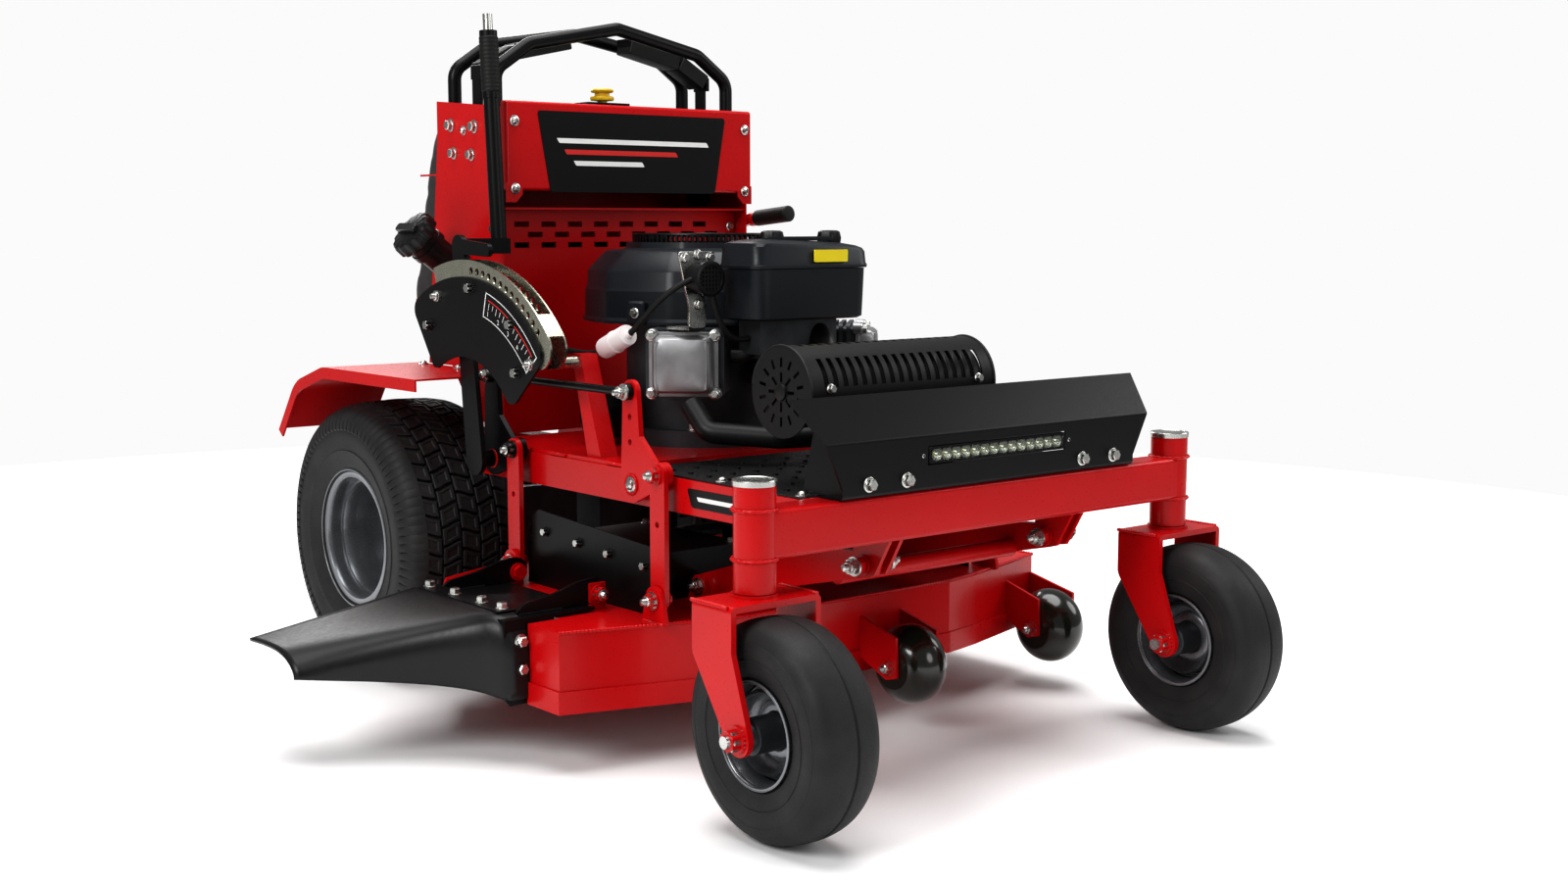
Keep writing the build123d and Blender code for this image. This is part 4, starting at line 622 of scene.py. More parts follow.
class MOWER_OT_drive_tyres(bpy.types.Operator):
    """Drive tyres with turf blocks"""
    bl_idname = "mower.drive_tyres"
    bl_label = "Drive tyres"

    def execute(self, context):
        sizes = context.scene.mower_sizes
        depth = sizes.tread_depth / MM
        pitch = 2 * math.pi * DRIVE_RADIUS / sizes.tread_pitches
        for side, name in SIDES.items():
            centre_x = side * DRIVE_X
            parts = [carcass(centre_x, depth)]
            for k in range(sizes.tread_pitches):
                for row in range(-2, 3):
                    arc = (k + (0.5 if row % 2 else 0.0)) * pitch
                    parts.append(turf_block(centre_x, row * TREAD_ROW, arc, 1 if row % 2 else -1, depth))
            for k in range(2 * sizes.tread_pitches):
                for shoulder in (-1, 1):
                    arc = (k + (0.25 if shoulder > 0 else -0.25)) * pitch / 2
                    parts.append(shoulder_rib(centre_x, shoulder, arc, depth))
            piece(f"drive_tyre_turf_{name}", [(s, TYRE) for s in parts], f"drive_wheel_{name}",
                  [f"drive_tyre_{name}"], angle=28)
        return {"FINISHED"}


class MOWER_OT_drive_rims(bpy.types.Operator):
    """Drive rims with hubs, nuts and valves"""
    bl_idname = "mower.drive_rims"
    bl_label = "Drive rims"

    def execute(self, context):
        for side, name in SIDES.items():
            centre = (side * DRIVE_X, 0, DRIVE_RADIUS)
            rim = pressed_rim(centre, side, (93.0, 117.0), 93.0, -DISC_INSET, 34.0, BEAD_RADIUS)
            piece(f"drive_rim_pressed_{name}", [(rim, RIM)], f"drive_wheel_{name}",
                  [f"drive_rim_{name}"], angle=30, wall=2.2, closed=False)
            out = np.array([side, 0.0, 0.0])
            origin = np.array([side * (DRIVE_X - DISC_INSET), 0, DRIVE_RADIUS])
            hub = lathe([(-34, 18), (-34, 33), (-16, 36), (-14, 60), (0, 60), (2, 58), (7, 52), (9, 30),
                         (22, 27), (24, 24), (24, 17), (12, 17)], origin, out, segments=48)
            cap = lathe([(10, 0.01), (10, 16.9), (19, 16.6), (22, 14), (22.6, 0.01)], origin, out,
                        segments=32, closed=False)
            quarter = np.radians(90 * np.arange(4))
            nuts = [placed(lock_nut(20), origin + out * 9 + 42 * np.array([0, np.cos(t), np.sin(t)]), out)
                    for t in quarter + math.pi / 4]
            valve_line = np.array([(0, 0.0, 84), (10, 0.0, 82), (26, 0.0, 78)]) * [side, 1, -1]
            valve = tube(origin + valve_line + [0, 10, 0], [4.5, 4.0, 3.6], segments=12)
            weights = [(lathe([(0, 0.01), (0, 5), (3, 5), (3.4, 4), (3.4, 0.01)],
                              origin + 70 * np.array([0, np.cos(t), np.sin(t)]) + out * 4, out, segments=14,
                              closed=False), DARK) for t in quarter]
            piece(f"drive_hub_{name}", [(hub, DARK), (cap, ZINC), (valve, GRIP)]
                  + [(n, ZINC) for n in nuts] + weights, f"drive_wheel_{name}", angle=30, bevel=0.6)
        return {"FINISHED"}


class MOWER_OT_casters(bpy.types.Operator):
    """Caster tyres, their rims and hubs, and the axle nuts"""
    bl_idname = "mower.casters"
    bl_label = "Casters"

    def execute(self, context):
        groove = context.scene.mower_sizes.caster_groove / MM
        half, radius = CASTER_HALF, CASTER_RADIUS
        for side, name in SIDES.items():
            centre = CASTER_CENTRE * [side, 1, 1]
            flank = [(-37, 64.4), (-43, 70), (-44.5, 74), (-47.5, 86), (-49.6, 98), (-50, 108), (-48, 119),
                     (-42, 129), (-31, 135.6), (-16, 138.8), (-4.5, radius - 0.1)]
            line = smooth_line(flank, steps=5)
            dip = np.array([(-2.6, radius - 0.3), (-1.4, radius - groove), (0, radius - groove - 0.2)])
            left_half = np.concatenate([line, dip])
            ring = np.concatenate([left_half, (left_half * [-1, 1])[-2::-1]])
            tyre = lathe(ring, centre, (1, 0, 0), segments=144)
            lines = [lathe(np.array([(way * (half - 1.6), r - 1.4), (way * (half - 0.1), r - 0.5),
                                     (way * (half - 0.1), r + 0.5), (way * (half - 1.6), r + 1.4)]),
                           centre, (1, 0, 0), segments=144) for way in (-1, 1) for r in (92.0, 113.0)]
            piece(f"caster_tyre_smooth_{name}", [(s, TYRE) for s in [tyre] + lines], f"caster_wheel_{name}",
                  [f"caster_tyre_{name}"], angle=40)
            rim = [pressed_rim(centre, way, (43.0, 67.0), 53.0, 4.0, 23.0, 64.0) for way in (-1, 1)]
            piece(f"caster_rim_pressed_{name}", [(s, RIM) for s in rim], f"caster_wheel_{name}",
                  [f"caster_rim_{name}"], angle=30, wall=2.0, closed=False)
            hub = lathe([(-60, 10), (-60, 16), (-54, 18), (-52, 23), (52, 23), (54, 18), (60, 16), (60, 10)],
                        centre, (1, 0, 0), segments=40)
            nipple = placed(lathe([(0, 0.01), (0, 4), (6, 4), (7, 2.4), (10, 2.8), (12, 1.6), (12, 0.01)],
                                  (0, 0, 0), (0, 0, 1), segments=12, closed=False),
                            centre + [30, 0, 22], (0, 0, 1))
            piece(f"caster_hub_{name}", [(hub, DARK), (nipple, ZINC)], f"caster_wheel_{name}",
                  angle=30)
            fork_low, fork_high = node_box(f"caster_fork_{name}")
            middle_x = (fork_low[0] + fork_high[0]) / 2
            axle = CASTER_CENTRE[1:]
            heads = [placed(bolt(24, head=0.5), (middle_x + way * 71.2, *axle), (way, 0, 0))
                     for way in (-1, 1)]
            ends = [tube([(middle_x + way * 84, *axle), (middle_x + way * 92, *axle)], [9, 8], segments=16)
                    for way in (-1, 1)]
            piece(f"caster_axle_nuts_{name}", [(s, ZINC) for s in heads + ends], f"caster_{name}",
                  angle=30)
        return {"FINISHED"}


# =========================================================================
# Operator tower
# =========================================================================
COVER_LOW, COVER_HIGH = node_box("tower_front_cover")
TOWER_FACE = COVER_LOW[1]
TOWER_SIDE = node_box("tower_sides")[1][0]
# Where a caster's stem stands: its distance from the middle, and its place along the mower.
STEM = (400.0, -1062.0)


def tower_back(z):
    """Where the tower's sloping back edge lies at a height: it comes 46 mm forward from 545 to 900."""
    return 20.5 - 46.0 * np.clip((z - 545) / 355, 0, 1)


class MOWER_OT_tower_trim(bpy.types.Operator):
    """The plain name plate field, its three printed stripes, the tower's screws and the caps on the caster
    stems
    """
    bl_idname = "mower.tower_trim"
    bl_label = "Tower trim"

    def execute(self, context):
        top, low = COVER_HIGH[2] - 14, COVER_LOW[2] + 17
        field = rounded([(-191, top), (191, top), (168, low), (-168, low)], 7)
        plate = slab(field, TOWER_FACE - 0.8, TOWER_FACE + 0.2, "y")
        middle = (top + low) / 2
        stripes = []
        for k, (lean, width) in enumerate(((0, 150), (-26, 110), (-52, 66))):
            z = middle + 18 - 18 * k
            stripe = rounded([(-width + lean, z - 4), (width + lean + 5, z - 4), (width + lean, z + 4),
                              (-width + lean - 5, z + 4)], 2)
            stripes.append(slab(stripe, TOWER_FACE - 1.1, TOWER_FACE - 0.7, "y"))
        piece("tower_front_plate", [(plate, "black film"), (stripes[0], "white print"),
                                    (stripes[1], "red print"), (stripes[2], "white print")],
              "chassis")
        screws = [placed(bolt(12, head=0.42, socket=True), (x, TOWER_FACE - 0.4, z), (0, -1, 0))
                  for x in (-234, 234) for z in (COVER_HIGH[2] - 32, COVER_LOW[2] + 22)]
        panel_y = node_box("tower_panels")[0][1] + 28
        screws += [placed(bolt(11, head=0.45), (x, panel_y, z), (0, -1, 0))
                   for x in (-236, 236) for z in (748, 600, 480)]
        for side in SIDES:
            for y, z, across_flats in ((-73, 915, 15), (-149, 910, 15), (-81, 869, 14), (-138, 865, 14),
                                       (-6, 535, 14), (-206, 745, 12), (-206, 560, 12)):
                screws.append(placed(bolt(across_flats, head=0.5), (side * TOWER_SIDE, y, z), (side, 0, 0)))
            screws.append(placed(bolt(11, head=0.5, socket=True), (side * TOWER_SIDE, -115, 905),
                                 (side, 0, 0)))
        piece("tower_screws", [(s, ZINC) for s in screws], "chassis", ["frame_fasteners"], angle=30)
        caps = []
        cap_line = [(-8, 0.01), (-8, 28), (-1.6, 28.4), (-0.4, 27.6), (-0.2, 25.5), (-1, 24.4), (-1, 0.01)]
        cap_z = node_box("front_beam")[1][2] + 6.5
        for side in SIDES:
            caps.append((lathe(cap_line, (side * STEM[0], STEM[1], cap_z), (0, 0, 1), segments=56,
                               closed=False), ZINC))
        piece("head_tube_caps", caps, "chassis", angle=30)
        return {"FINISHED"}


class MOWER_OT_back_pad(bpy.types.Operator):
    """The operator's back pad: a vinyl cover over foam, swelled by a cloth simulation"""
    bl_idname = "mower.back_pad"
    bl_label = "Back pad"

    def execute(self, context):
        low, high = node_box("back_pad")
        inset, steps = 9.0, 26
        heights = np.linspace(low[2] + inset, high[2] - inset, steps)
        share = (heights - low[2]) / (high[2] - low[2])
        front = tower_back(heights) + 1.5
        depth_line = np.array([(0.0, 98), (0.08, 128), (0.27, 138), (0.6, 122), (0.93, 101), (1.0, 84)])
        depth = np.interp(share, depth_line[:, 0], depth_line[:, 1]) - inset
        half = (high[0] - low[0]) / 2 - inset
        corner = np.array(rounded(rectangle((-1.0, 1.0), (0.0, 1.0)), 0.16, steps=6))
        rings = [np.stack([corner[:, 0] * half * (1 - 0.05 * abs(2 * s - 1) ** 6),
                           f + corner[:, 1] * d, np.full(len(corner), z)], -1)
                 for s, f, d, z in zip(share, front, depth, heights)]
        pad = piece("back_pad_cover", [(loft(rings, caps=True), VINYL)], "chassis", ["back_pad"],
                    angle=180)
        remesh = pad.modifiers.new("remesh", "REMESH")
        remesh.mode, remesh.voxel_size = "VOXEL", 0.009
        self.apply(pad)
        rest = self.points(pad)
        cloth = pad.modifiers.new("cloth", "CLOTH")
        cloth.settings.use_pressure = True
        cloth.settings.uniform_pressure_force = 4.0
        cloth.settings.effector_weights.gravity = 0.0
        cloth.settings.quality = 5
        for frame_number in range(1, 21):
            context.scene.frame_set(frame_number)
        self.apply(pad)
        context.scene.frame_set(1)
        swell = context.scene.mower_sizes.pad_swell
        move = self.points(pad) - rest
        length = np.maximum(np.linalg.norm(move, axis=1, keepdims=True), 1e-9)
        moved = rest + move * np.minimum(1.0, swell / length)
        # The pad lies flat on the tower: nothing passes the plane it rests on.
        wall_y = (tower_back(moved[:, 2] / MM) + 1.2) * MM
        moved[:, 1] = np.maximum(moved[:, 1], wall_y)
        # Two sewn channels across the pad, 5 mm deep, and one near each edge, 4 mm deep.
        depth_mm = np.zeros(len(moved))
        for seam in (0.36, 0.68):
            z = (low[2] + (high[2] - low[2]) * seam) * MM
            depth_mm += 5.0 * np.exp(-((moved[:, 2] - z) / 0.006) ** 2)
        for edge in (-1, 1):
            depth_mm += 4.0 * np.exp(-((moved[:, 0] - edge * (half - 26) * MM) / 0.006) ** 2)
        behind = moved[:, 1] > wall_y + 0.03
        moved[behind, 1] -= depth_mm[behind] * MM
        pad.data.vertices.foreach_set("co", moved.astype(np.float32).ravel())
        pad.data.shade_smooth()
        pad.data.materials.clear()
        pad.data.materials.append(bpy.data.materials[VINYL])
        soft = pad.modifiers.new("round", "SUBSURF")
        soft.levels = soft.render_levels = 1
        return {"FINISHED"}

    @staticmethod
    def points(pad):
        """The mesh's points as an array, in metres."""
        flat = np.zeros(len(pad.data.vertices) * 3, np.float32)
        pad.data.vertices.foreach_get("co", flat)
        return flat.reshape(-1, 3).astype(float)

    @staticmethod
    def apply(pad):
        """Replaces the pad's mesh by what its modifiers make of it."""
        shown = pad.evaluated_get(bpy.context.evaluated_depsgraph_get())
        mesh = bpy.data.meshes.new_from_object(shown)
        pad.modifiers.clear()
        pad.data = mesh


class MOWER_OT_controls(bpy.types.Operator):
    """The blade switch, the fuel cap, the levers' grips and the console's fittings"""
    bl_idname = "mower.controls"
    bl_label = "Controls"

    def execute(self, context):
        low, high = node_box("pto_knob")
        x, y, top = (low[0] + high[0]) / 2, (low[1] + high[1]) / 2, high[2]
        knob = lathe([(-38, 0.01), (-38, 8), (-22, 8), (-21, 12), (-20.5, 19), (-17, 20), (-14, 19),
                      (-12, 12.5), (-8, 12), (-7, 17.5), (-4, 19.4), (-1.5, 18), (-0.4, 12), (0, 0.01)],
                     (x, y, top), (0, 0, 1), segments=48, closed=False,
                     shape=lambda a: 1 + 0.03 * np.cos(12 * a))
        piece("blade_switch_knob", [(knob, "yellow plastic")], "pto_knob",
              ["pto_knob"], angle=40)
        base_z = node_box("console_top")[1][2] - 14
        base = slab(rounded(rectangle((-42, 42), (-172, -128)), 8), base_z - 10, base_z + 13.5, "z",
                    chamfer=2)
        piece("blade_switch_base", [(base, PLASTIC)], "chassis", angle=40)
        self.fuel_cap()
        self.grips()
        return {"FINISHED"}

    @staticmethod
    def fuel_cap():
        """The fluted cap on its slanted neck: its radius is times 1 + 0.035*(3 cos 14 a, clipped
        to between -1 and 1)."""
        way = unit(np.array([-76.0, 0.0, 60.0]))
        seat = np.array([-322.0, -90.0, 728.0]) + way * 0.6
        cap = lathe([(0, 0.01), (0, 37), (2, 39), (18, 38.4), (22, 36), (24, 31), (24.2, 0.01)], seat, way,
                    segments=112, closed=False,
                    shape=lambda a: 1 + 0.035 * np.clip(3 * np.cos(14 * a), -1, 1))
        grip = placed(slab(rounded(rectangle((-30, 30), (-7, 7)), 6), 22, 33, "z", chamfer=2), seat, way)
        piece("fuel_cap_fluted", [(cap, PLASTIC), (grip, PLASTIC)], "fuel_cap", ["fuel_cap"],
              angle=35)
        collar = lathe([(-26, 26), (-26, 31), (-14, 31), (-13, 29), (-3, 29), (-3, 26)], seat, way,
                       segments=48)
        gasket = lathe([(0, 26), (0, 46), (3, 48), (6, 46), (8, 30), (8, 26)],
                       np.array([-TOWER_SIDE - 0.5, -90, 671]), (-1, 0, 0), segments=48)
        piece("fuel_neck_collar", [(collar, PLASTIC), (gasket, GRIP)], "chassis", angle=35)

    @staticmethod
    def grips():
        """Ribbed rubber grips: a tube whose radius rises by half sines, one about every 6 mm."""
        foot, tip = np.array([-275.0, -246.0, 958.0]), np.array([-275.0, -240.6, 1046.0])
        s = np.linspace(0, 1, 90)
        radius = 14.6 + 0.5 * np.abs(np.sin(math.pi * s * 14))
        radius[:3], radius[-3:] = (13.0, 14.0, 14.6), (14.6, 14.0, 13.4)
        sleeve = tube(foot + (tip - foot) * s[:, None], radius, segments=32)
        piece("height_lever_grip", [(sleeve, GRIP)], "height_lever", angle=40)
        tip_y = node_box("brake_lever")[0][1] - 1
        start, end = np.array([266.0, -244.0, 762.4]), np.array([266.0, tip_y, 770.2])
        radius = 13.6 + 0.4 * np.abs(np.sin(math.pi * s * 15))
        radius[-3:] = (13.0, 12.0, 9.0)
        sleeve = tube(start + (end - start) * s[:, None], radius, segments=32)
        piece("brake_lever_grip", [(sleeve, GRIP)], "brake_lever", angle=40)
        for side, name in SIDES.items():
            pads = []
            line = np.array([(229.0, 1006.0), (170.0, 1040.0), (60.0, 1064.0)])
            for (x0, z0), (x1, z1) in zip(line, line[1:]):
                along = unit(np.array([x1 - x0, z1 - z0]))
                rise = np.array([-along[1], along[0]]) * (1 if along[0] < 0 else -1)
                a, b = np.array([x0, z0]) + along * 3, np.array([x1, z1]) - along * 3
                outline = np.array([a - rise * 7.2, b - rise * 7.2, b + rise * 19, a + rise * 19])
                outline *= [side, 1]
                pads.append(slab(rounded(outline, 3), -150.5, -107.5, "y", chamfer=1.5))
            piece(f"steering_grip_{name}", [(p, GRIP) for p in pads], f"steering_lever_{name}",
                  angle=40)


# =========================================================================
# Engine
# =========================================================================
# The foot of the crankshaft's line, on the ground.
ENGINE = np.array([0.0, -440.0, 0.0])
SHROUD_LOW, SHROUD_HIGH = node_box("blower_housing")
SHROUD_RADIUS = (SHROUD_HIGH[0] - SHROUD_LOW[0]) / 2


def bank(side):
    """The way a cylinder of the V-twin points: outwards and forwards at 45 degrees."""
    return np.array([side, -1.0, 0.0]) / math.sqrt(2)


def soft_polygon(sides, softness):
    """An angle's reach on a polygon with softened corners: (1/cos of the angle from the flat's middle)
    to a power, scaled so that the corners stay within 1."""
    step = 2 * math.pi / sides

    def reach(angle):
        away = (angle % step) - step / 2
        return (np.cos(step / 2) / np.cos(away)) ** softness
    return reach


class MOWER_OT_engine_covers(bpy.types.Operator):
    """The fan shroud, the cooling screen and the air cleaner"""
    bl_idname = "mower.engine_covers"
    bl_label = "Engine covers"

    def execute(self, context):
        top, low, r = SHROUD_HIGH[2], SHROUD_LOW[2], SHROUD_RADIUS
        line = [(low, r - 3), (low, r + 1), (low + 4, r + 1), (low + 9, r - 2), (top - 62, r - 3),
                (top - 56, r - 6), (top - 34, r - 7), (top - 30, r - 9), (top - 4, r - 34),
                (top - 1, r - 40), (top + 1, 132), (top + 3, 128), (top + 12, 126), (top + 12, 121),
                (top, 118), (top - 8, 112)]
        shroud = lathe(line, ENGINE, (0, 0, 1), segments=160, closed=False, shape=soft_polygon(10, 0.55))
        piece("fan_shroud", [(shroud, COVER)], "chassis", ["blower_housing"], angle=24,
              wall=2.6)
        extras = []
        for turn in (200, 250, 290, 340):
            a = math.radians(turn)
            foot = ENGINE + [(r - 22) * math.cos(a), (r - 22) * math.sin(a), low + 18]
            out = np.array([math.cos(a), math.sin(a), 0])
            extras.append((placed(slab(rounded(rectangle((-16, 16), (-18, 18)), 6), 0, 26, "z", chamfer=3),
                                  foot, out), COVER))
            extras.append((placed(bolt(11), foot + out * 26, out), ZINC))
        piece("shroud_mounts", extras, "chassis", angle=35)
        self.screen(context.scene.mower_sizes.screen_fins)
        self.air_cleaner()
        return {"FINISHED"}

    @staticmethod
    def screen(fins):
        """The turning screen: a comb of upright fins round its rim under a slotted top."""
        low = SHROUD_HIGH[2] + 4
        high = low + 20
        points, faces = slab(rectangle((-2.6, 2.6), (-1.7, 1.7)), low, high, "z", chamfer=0.6)
        fin = (points + [114.5, 0, 0], faces)
        parts = [spun(fin, a, ENGINE) for a in np.arange(fins) * 2 * math.pi / fins]
        inner, outer = 109, 117.5
        for z in (high - 1, low - 1.5):
            parts.append(lathe([(z, inner), (z, outer), (z + 1, outer + 0.4), (z + 2.4, outer),
                                (z + 2.4, inner)], ENGINE, (0, 0, 1), segments=120))
        # The outer ring of spokes stands half a step round from the inner one.
        spokes = 36
        for k in range(spokes):
            for near, far, shift in ((30, 68, 0.0), (72, 110, 0.5)):
                bar = slab(rectangle((near, far), (-1.6, 1.6)), high - 4, high + 0.5, "z")
                parts.append(spun(bar, 2 * math.pi * (k + shift) / spokes, ENGINE))
        for inner, outer in ((66, 74), (44, 48), (88, 92)):
            parts.append(lathe([(high - 4, inner), (high - 4, outer), (high + 1, outer), (high + 1, inner)],
                               ENGINE, (0, 0, 1), segments=96))
        parts.append(lathe([(high - 5, 0.01), (high - 5, 33), (high + 1, 33), (high + 2, 30), (high - 1, 26),
                            (high - 1, 0.01)], ENGINE, (0, 0, 1), segments=64, closed=False))
        backing = lathe([(low - 4, 0.01), (low - 4, 106), (low + 2, 106), (low + 2, 0.01)], ENGINE,
                        (0, 0, 1), segments=64, closed=False)
        shaft = lathe([(348, 0.01), (348, 14), (low - 3, 14), (low - 3, 0.01)], ENGINE,
                      (0, 0, 1), segments=32, closed=False)
        piece("fan_screen", [(s, PLASTIC) for s in parts] + [(backing, DARK), (shaft, "ground steel")],
              "crankshaft", ["cooling_screen"], angle=35)

    @staticmethod
    def air_cleaner():
        """A deep base and an overlapping lid: rounded rectangles stacked with small insets, the front
        bowed outwards by a cosine."""
        low, high = node_box("air_cleaner")
        middle, half = (low + high) / 2, (high - low) / 2
        lid_seam, lid_top = high[2] - 56, high[2] - 16
        base = [(low[2], 10), (low[2] + 3, 5), (low[2] + 30, 4), (lid_seam - 1, 2.5), (lid_seam - 1, 9)]
        lid = [(lid_seam, 8), (lid_seam, -0.5), (lid_seam + 4, -1), (lid_seam + 7, 0.6), (lid_top - 8, 2),
               (lid_top - 3, 5), (lid_top, 12), (lid_top + 2.5, 30), (lid_top + 3, 44)]
        surfaces = []
        for rows in (base, lid):
            rings = []
            for z, inset in rows:
                x, y = half[0] - inset, half[1] - inset
                outline = np.array(rounded(rectangle((-x, x), (-y, y)), min(24.0, y * 0.8), steps=9))
                front = outline[:, 1] < 0
                outline[front, 1] *= 0.9 + 0.1 * np.cos(outline[front, 0] / half[0] * math.pi / 2)
                slope = np.where(outline[:, 0] > 0, outline[:, 0] / half[0], 0) * 9 * (z > lid_seam + 8)
                rings.append(np.stack([middle[0] + outline[:, 0], middle[1] + outline[:, 1], z - slope], -1))
            surfaces.append(loft(rings, caps=True))
        ribs = [slab(rounded(rectangle((middle[0] - half[0] + 40, middle[0] + half[0] - 50),
                                       (middle[1] + y - 3, middle[1] + y + 3)), 2), lid_top, lid_top + 6, "z",
                     chamfer=1) for y in (-16, 16)]
        knobs = [lathe([(lid_top - 4, 0.01), (lid_top - 4, 17), (lid_top + 4, 18), (lid_top + 13, 16),
                        (lid_top + 15, 12), (lid_top + 15.4, 0.01)], (x, middle[1], 0), (0, 0, 1),
                       segments=40, closed=False, shape=lambda a: 1 + 0.06 * np.cos(6 * a))
                 for x in (middle[0] - 45, middle[0] + 67)]
        face = low[1] - 0.2
        field = rectangle((middle[0] - 6, middle[0] + 58), (lid_seam + 9, lid_seam + 27))
        label = slab(rounded(field, 1.5), face - 0.2, face + 3, "y")
        piece("air_cleaner_case", [(surfaces[0], COVER), (surfaces[1], COVER)]
              + [(s, COVER) for s in ribs] + [(k, PLASTIC) for k in knobs] + [(label, "yellow film")],
              "chassis", ["air_cleaner"], angle=32)


# The middle of a rocker cover's flange: its height, and its distance from the crankshaft.
HEAD_Z = 546.0
HEAD_REACH = 244.0
# The middle of the fuel pump's face, and the two ends of the fuel filter's body.
FUEL_PUMP = np.array([-174.0, -648.0, 674.0])
FUEL_FILTER = np.array([(-238.0, -562.0, 590.0), (-238.0, -500.0, 566.0)])


class MOWER_OT_engine_castings(bpy.types.Operator):
    """Rocker covers, intake, spark plugs, oil filter and the fuel pump"""
    bl_idname = "mower.engine_castings"
    bl_label = "Engine castings"

    def execute(self, context):
        covers = []
        for side in SIDES:
            out = bank(side)
            covers += self.rocker_cover(ENGINE + out * HEAD_REACH + [0, 0, HEAD_Z], out)
        piece("rocker_cover_castings", covers, "chassis", ["rocker_covers"], angle=30,
              bevel=0.5)
        self.small_castings()
        self.fuel_pump()
        return {"FINISHED"}

    @staticmethod
    def rocker_cover(start, out):
        """A flange with bolt ears and a domed box, as rounded rectangles stacked outwards."""
        rows = [(0, 48, 52, 12), (6, 48, 52, 12), (6.5, 43, 46, 12), (24, 41, 44, 13), (29, 38, 41, 14),
                (32, 31, 34, 14), (33, 12, 14, 10)]
        rings = []
        for height, half_up, half_side, corner in rows:
            outline = rounded(rectangle((-half_side, half_side), (-half_up, half_up)), corner, steps=7)
            rings.append(np.concatenate([outline, np.full((len(outline), 1), height)], 1))
        cover = placed(loft(rings, caps=True), start, out)
        first, second = across(out)
        ears, heads = [], []
        for a in (-1, 1):
            for b in (-1, 1):
                spot = start + first * a * 47 + second * b * 43
                ears.append(placed(lathe([(-4, 0.01), (-4, 10), (9, 9.4), (10, 8.6), (10, 0.01)], (0, 0, 0),
                                         (0, 0, 1), segments=24, closed=False), spot, out))
                heads.append(placed(bolt(12, head=0.6), spot + out * 10, out))
        rib = [placed(slab(rounded(rectangle((-2, 2), (-36, 36)), 1.5), 24, 31, "z"), start + first * x, out)
               for x in (-36, 36)]
        return [(cover, CAST)] + [(s, CAST) for s in ears + rib] + [(h, ZINC) for h in heads]

    @staticmethod
    def small_castings():
        """Spark plug boots and leads, the oil filter, the intake and the carburettor's bowl."""
        parts = []
        for side in SIDES:
            lateral = np.array([1.0, side, 0.0]) / math.sqrt(2)
            plug = ENGINE + bank(side) * 205 - side * lateral * 66 + [0, 0, 556]
            boot = np.array([plug, plug - side * lateral * 16, plug - side * lateral * 30 + [0, 0, 8],
                             plug - side * lateral * 36 + [0, 0, 24]])
            parts.append((tube(smooth_line(boot), 9.5, segments=16), GRIP))
            lead = np.array([boot[-1], boot[-1] + [0, 10, 26], boot[-1] + [side * 4, 44, 50]])
            parts.append((tube(smooth_line(lead), 3.6, segments=10), GRIP))
        filter_foot = ENGINE + [-150, 20, 455]
        parts.append((lathe([(0, 0.01), (0, 30), (4, 36), (52, 36), (60, 33), (64, 26), (65, 0.01)],
                            filter_foot, (-1, 0, 0), segments=48, closed=False,
                            shape=lambda a: 1 + 0.02 * np.cos(15 * a)), BLACK))
        intake = smooth_line([(20, -640, 600), (28, -684, 580), (20, -700, 546), (-10, -676, 508)], steps=6)
        parts.append((tube(intake, np.linspace(24, 20, len(intake)), segments=20), PLASTIC))
        bowl = lathe([(0, 0.01), (0, 20), (4, 26), (30, 27), (34, 24), (38, 16), (38, 0.01)], (60, -660, 500),
                     (0, 0, 1), segments=40, closed=False)
        parts.append((bowl, CAST))
        piece("engine_fittings", parts, "chassis", angle=35)

    @staticmethod
    def fuel_pump():
        """The fuel pump on its bracket, with a grid of bars over its face, and the filter's body."""
        pump = FUEL_PUMP
        outline = [(-35, 39), (33, 39), (15, -40), (15, -73), (-15, -73), (-15, -40)]
        plate = slab(rounded(np.array(outline) + pump[[0, 2]], 7), pump[1] - 0.8, pump[1] + 3.8, "y",
                     chamfer=0.6)
        tab = slab(rectangle((pump[0] - 14.6, pump[0] + 14.6), (pump[1] + 2, -591)), 597.8, 601.6, "z")
        metal = [plate, tab] + [placed(bolt(11), pump + [x, -0.6, z], (0, -1, 0))
                                for x, z in ((-24, 30), (22, 30), (0, -38), (0, 34))]
        face = lathe([(0, 0.01), (0, 23), (24, 23.4), (27, 26), (33, 26), (34, 24), (34, 20), (31.5, 19),
                      (31.5, 0.01)], pump, (0, -1, 0), segments=48, closed=False)
        steps, half, reach = (-12, -6, 0, 6, 12), 1.1, 17
        bars = [slab(rectangle((pump[0] + way - half, pump[0] + way + half),
                               (pump[2] - reach, pump[2] + reach)), pump[1] - 33.6, pump[1] - 31, "y")
                for way in steps]
        bars += [slab(rectangle((pump[0] - reach, pump[0] + reach),
                                (pump[2] + way - half, pump[2] + way + half)),
                      pump[1] - 33.4, pump[1] - 31, "y") for way in steps]
        piece("fuel_pump", [(m, ZINC) for m in metal] + [(f, PLASTIC) for f in [face] + bars], "chassis",
              angle=35)
        start, end = FUEL_FILTER
        run = np.linalg.norm(end - start)
        body = lathe([(-9, 5), (-9, 6.5), (-1, 7), (0, 15.4), (4, 16.2), (run - 4, 16.2), (run, 15.4),
                      (run + 1, 7), (run + 9, 6.5), (run + 9, 5)], start, end - start, segments=48)
        seam = lathe([(run / 2 - 2, 15.8), (run / 2 - 2, 17.4), (run / 2 + 2, 17.4), (run / 2 + 2, 15.8)],
                     start, end - start, segments=48)
        piece("fuel_filter_body", [(body, "milky nylon"), (seam, "milky nylon")], "chassis",
              angle=35)


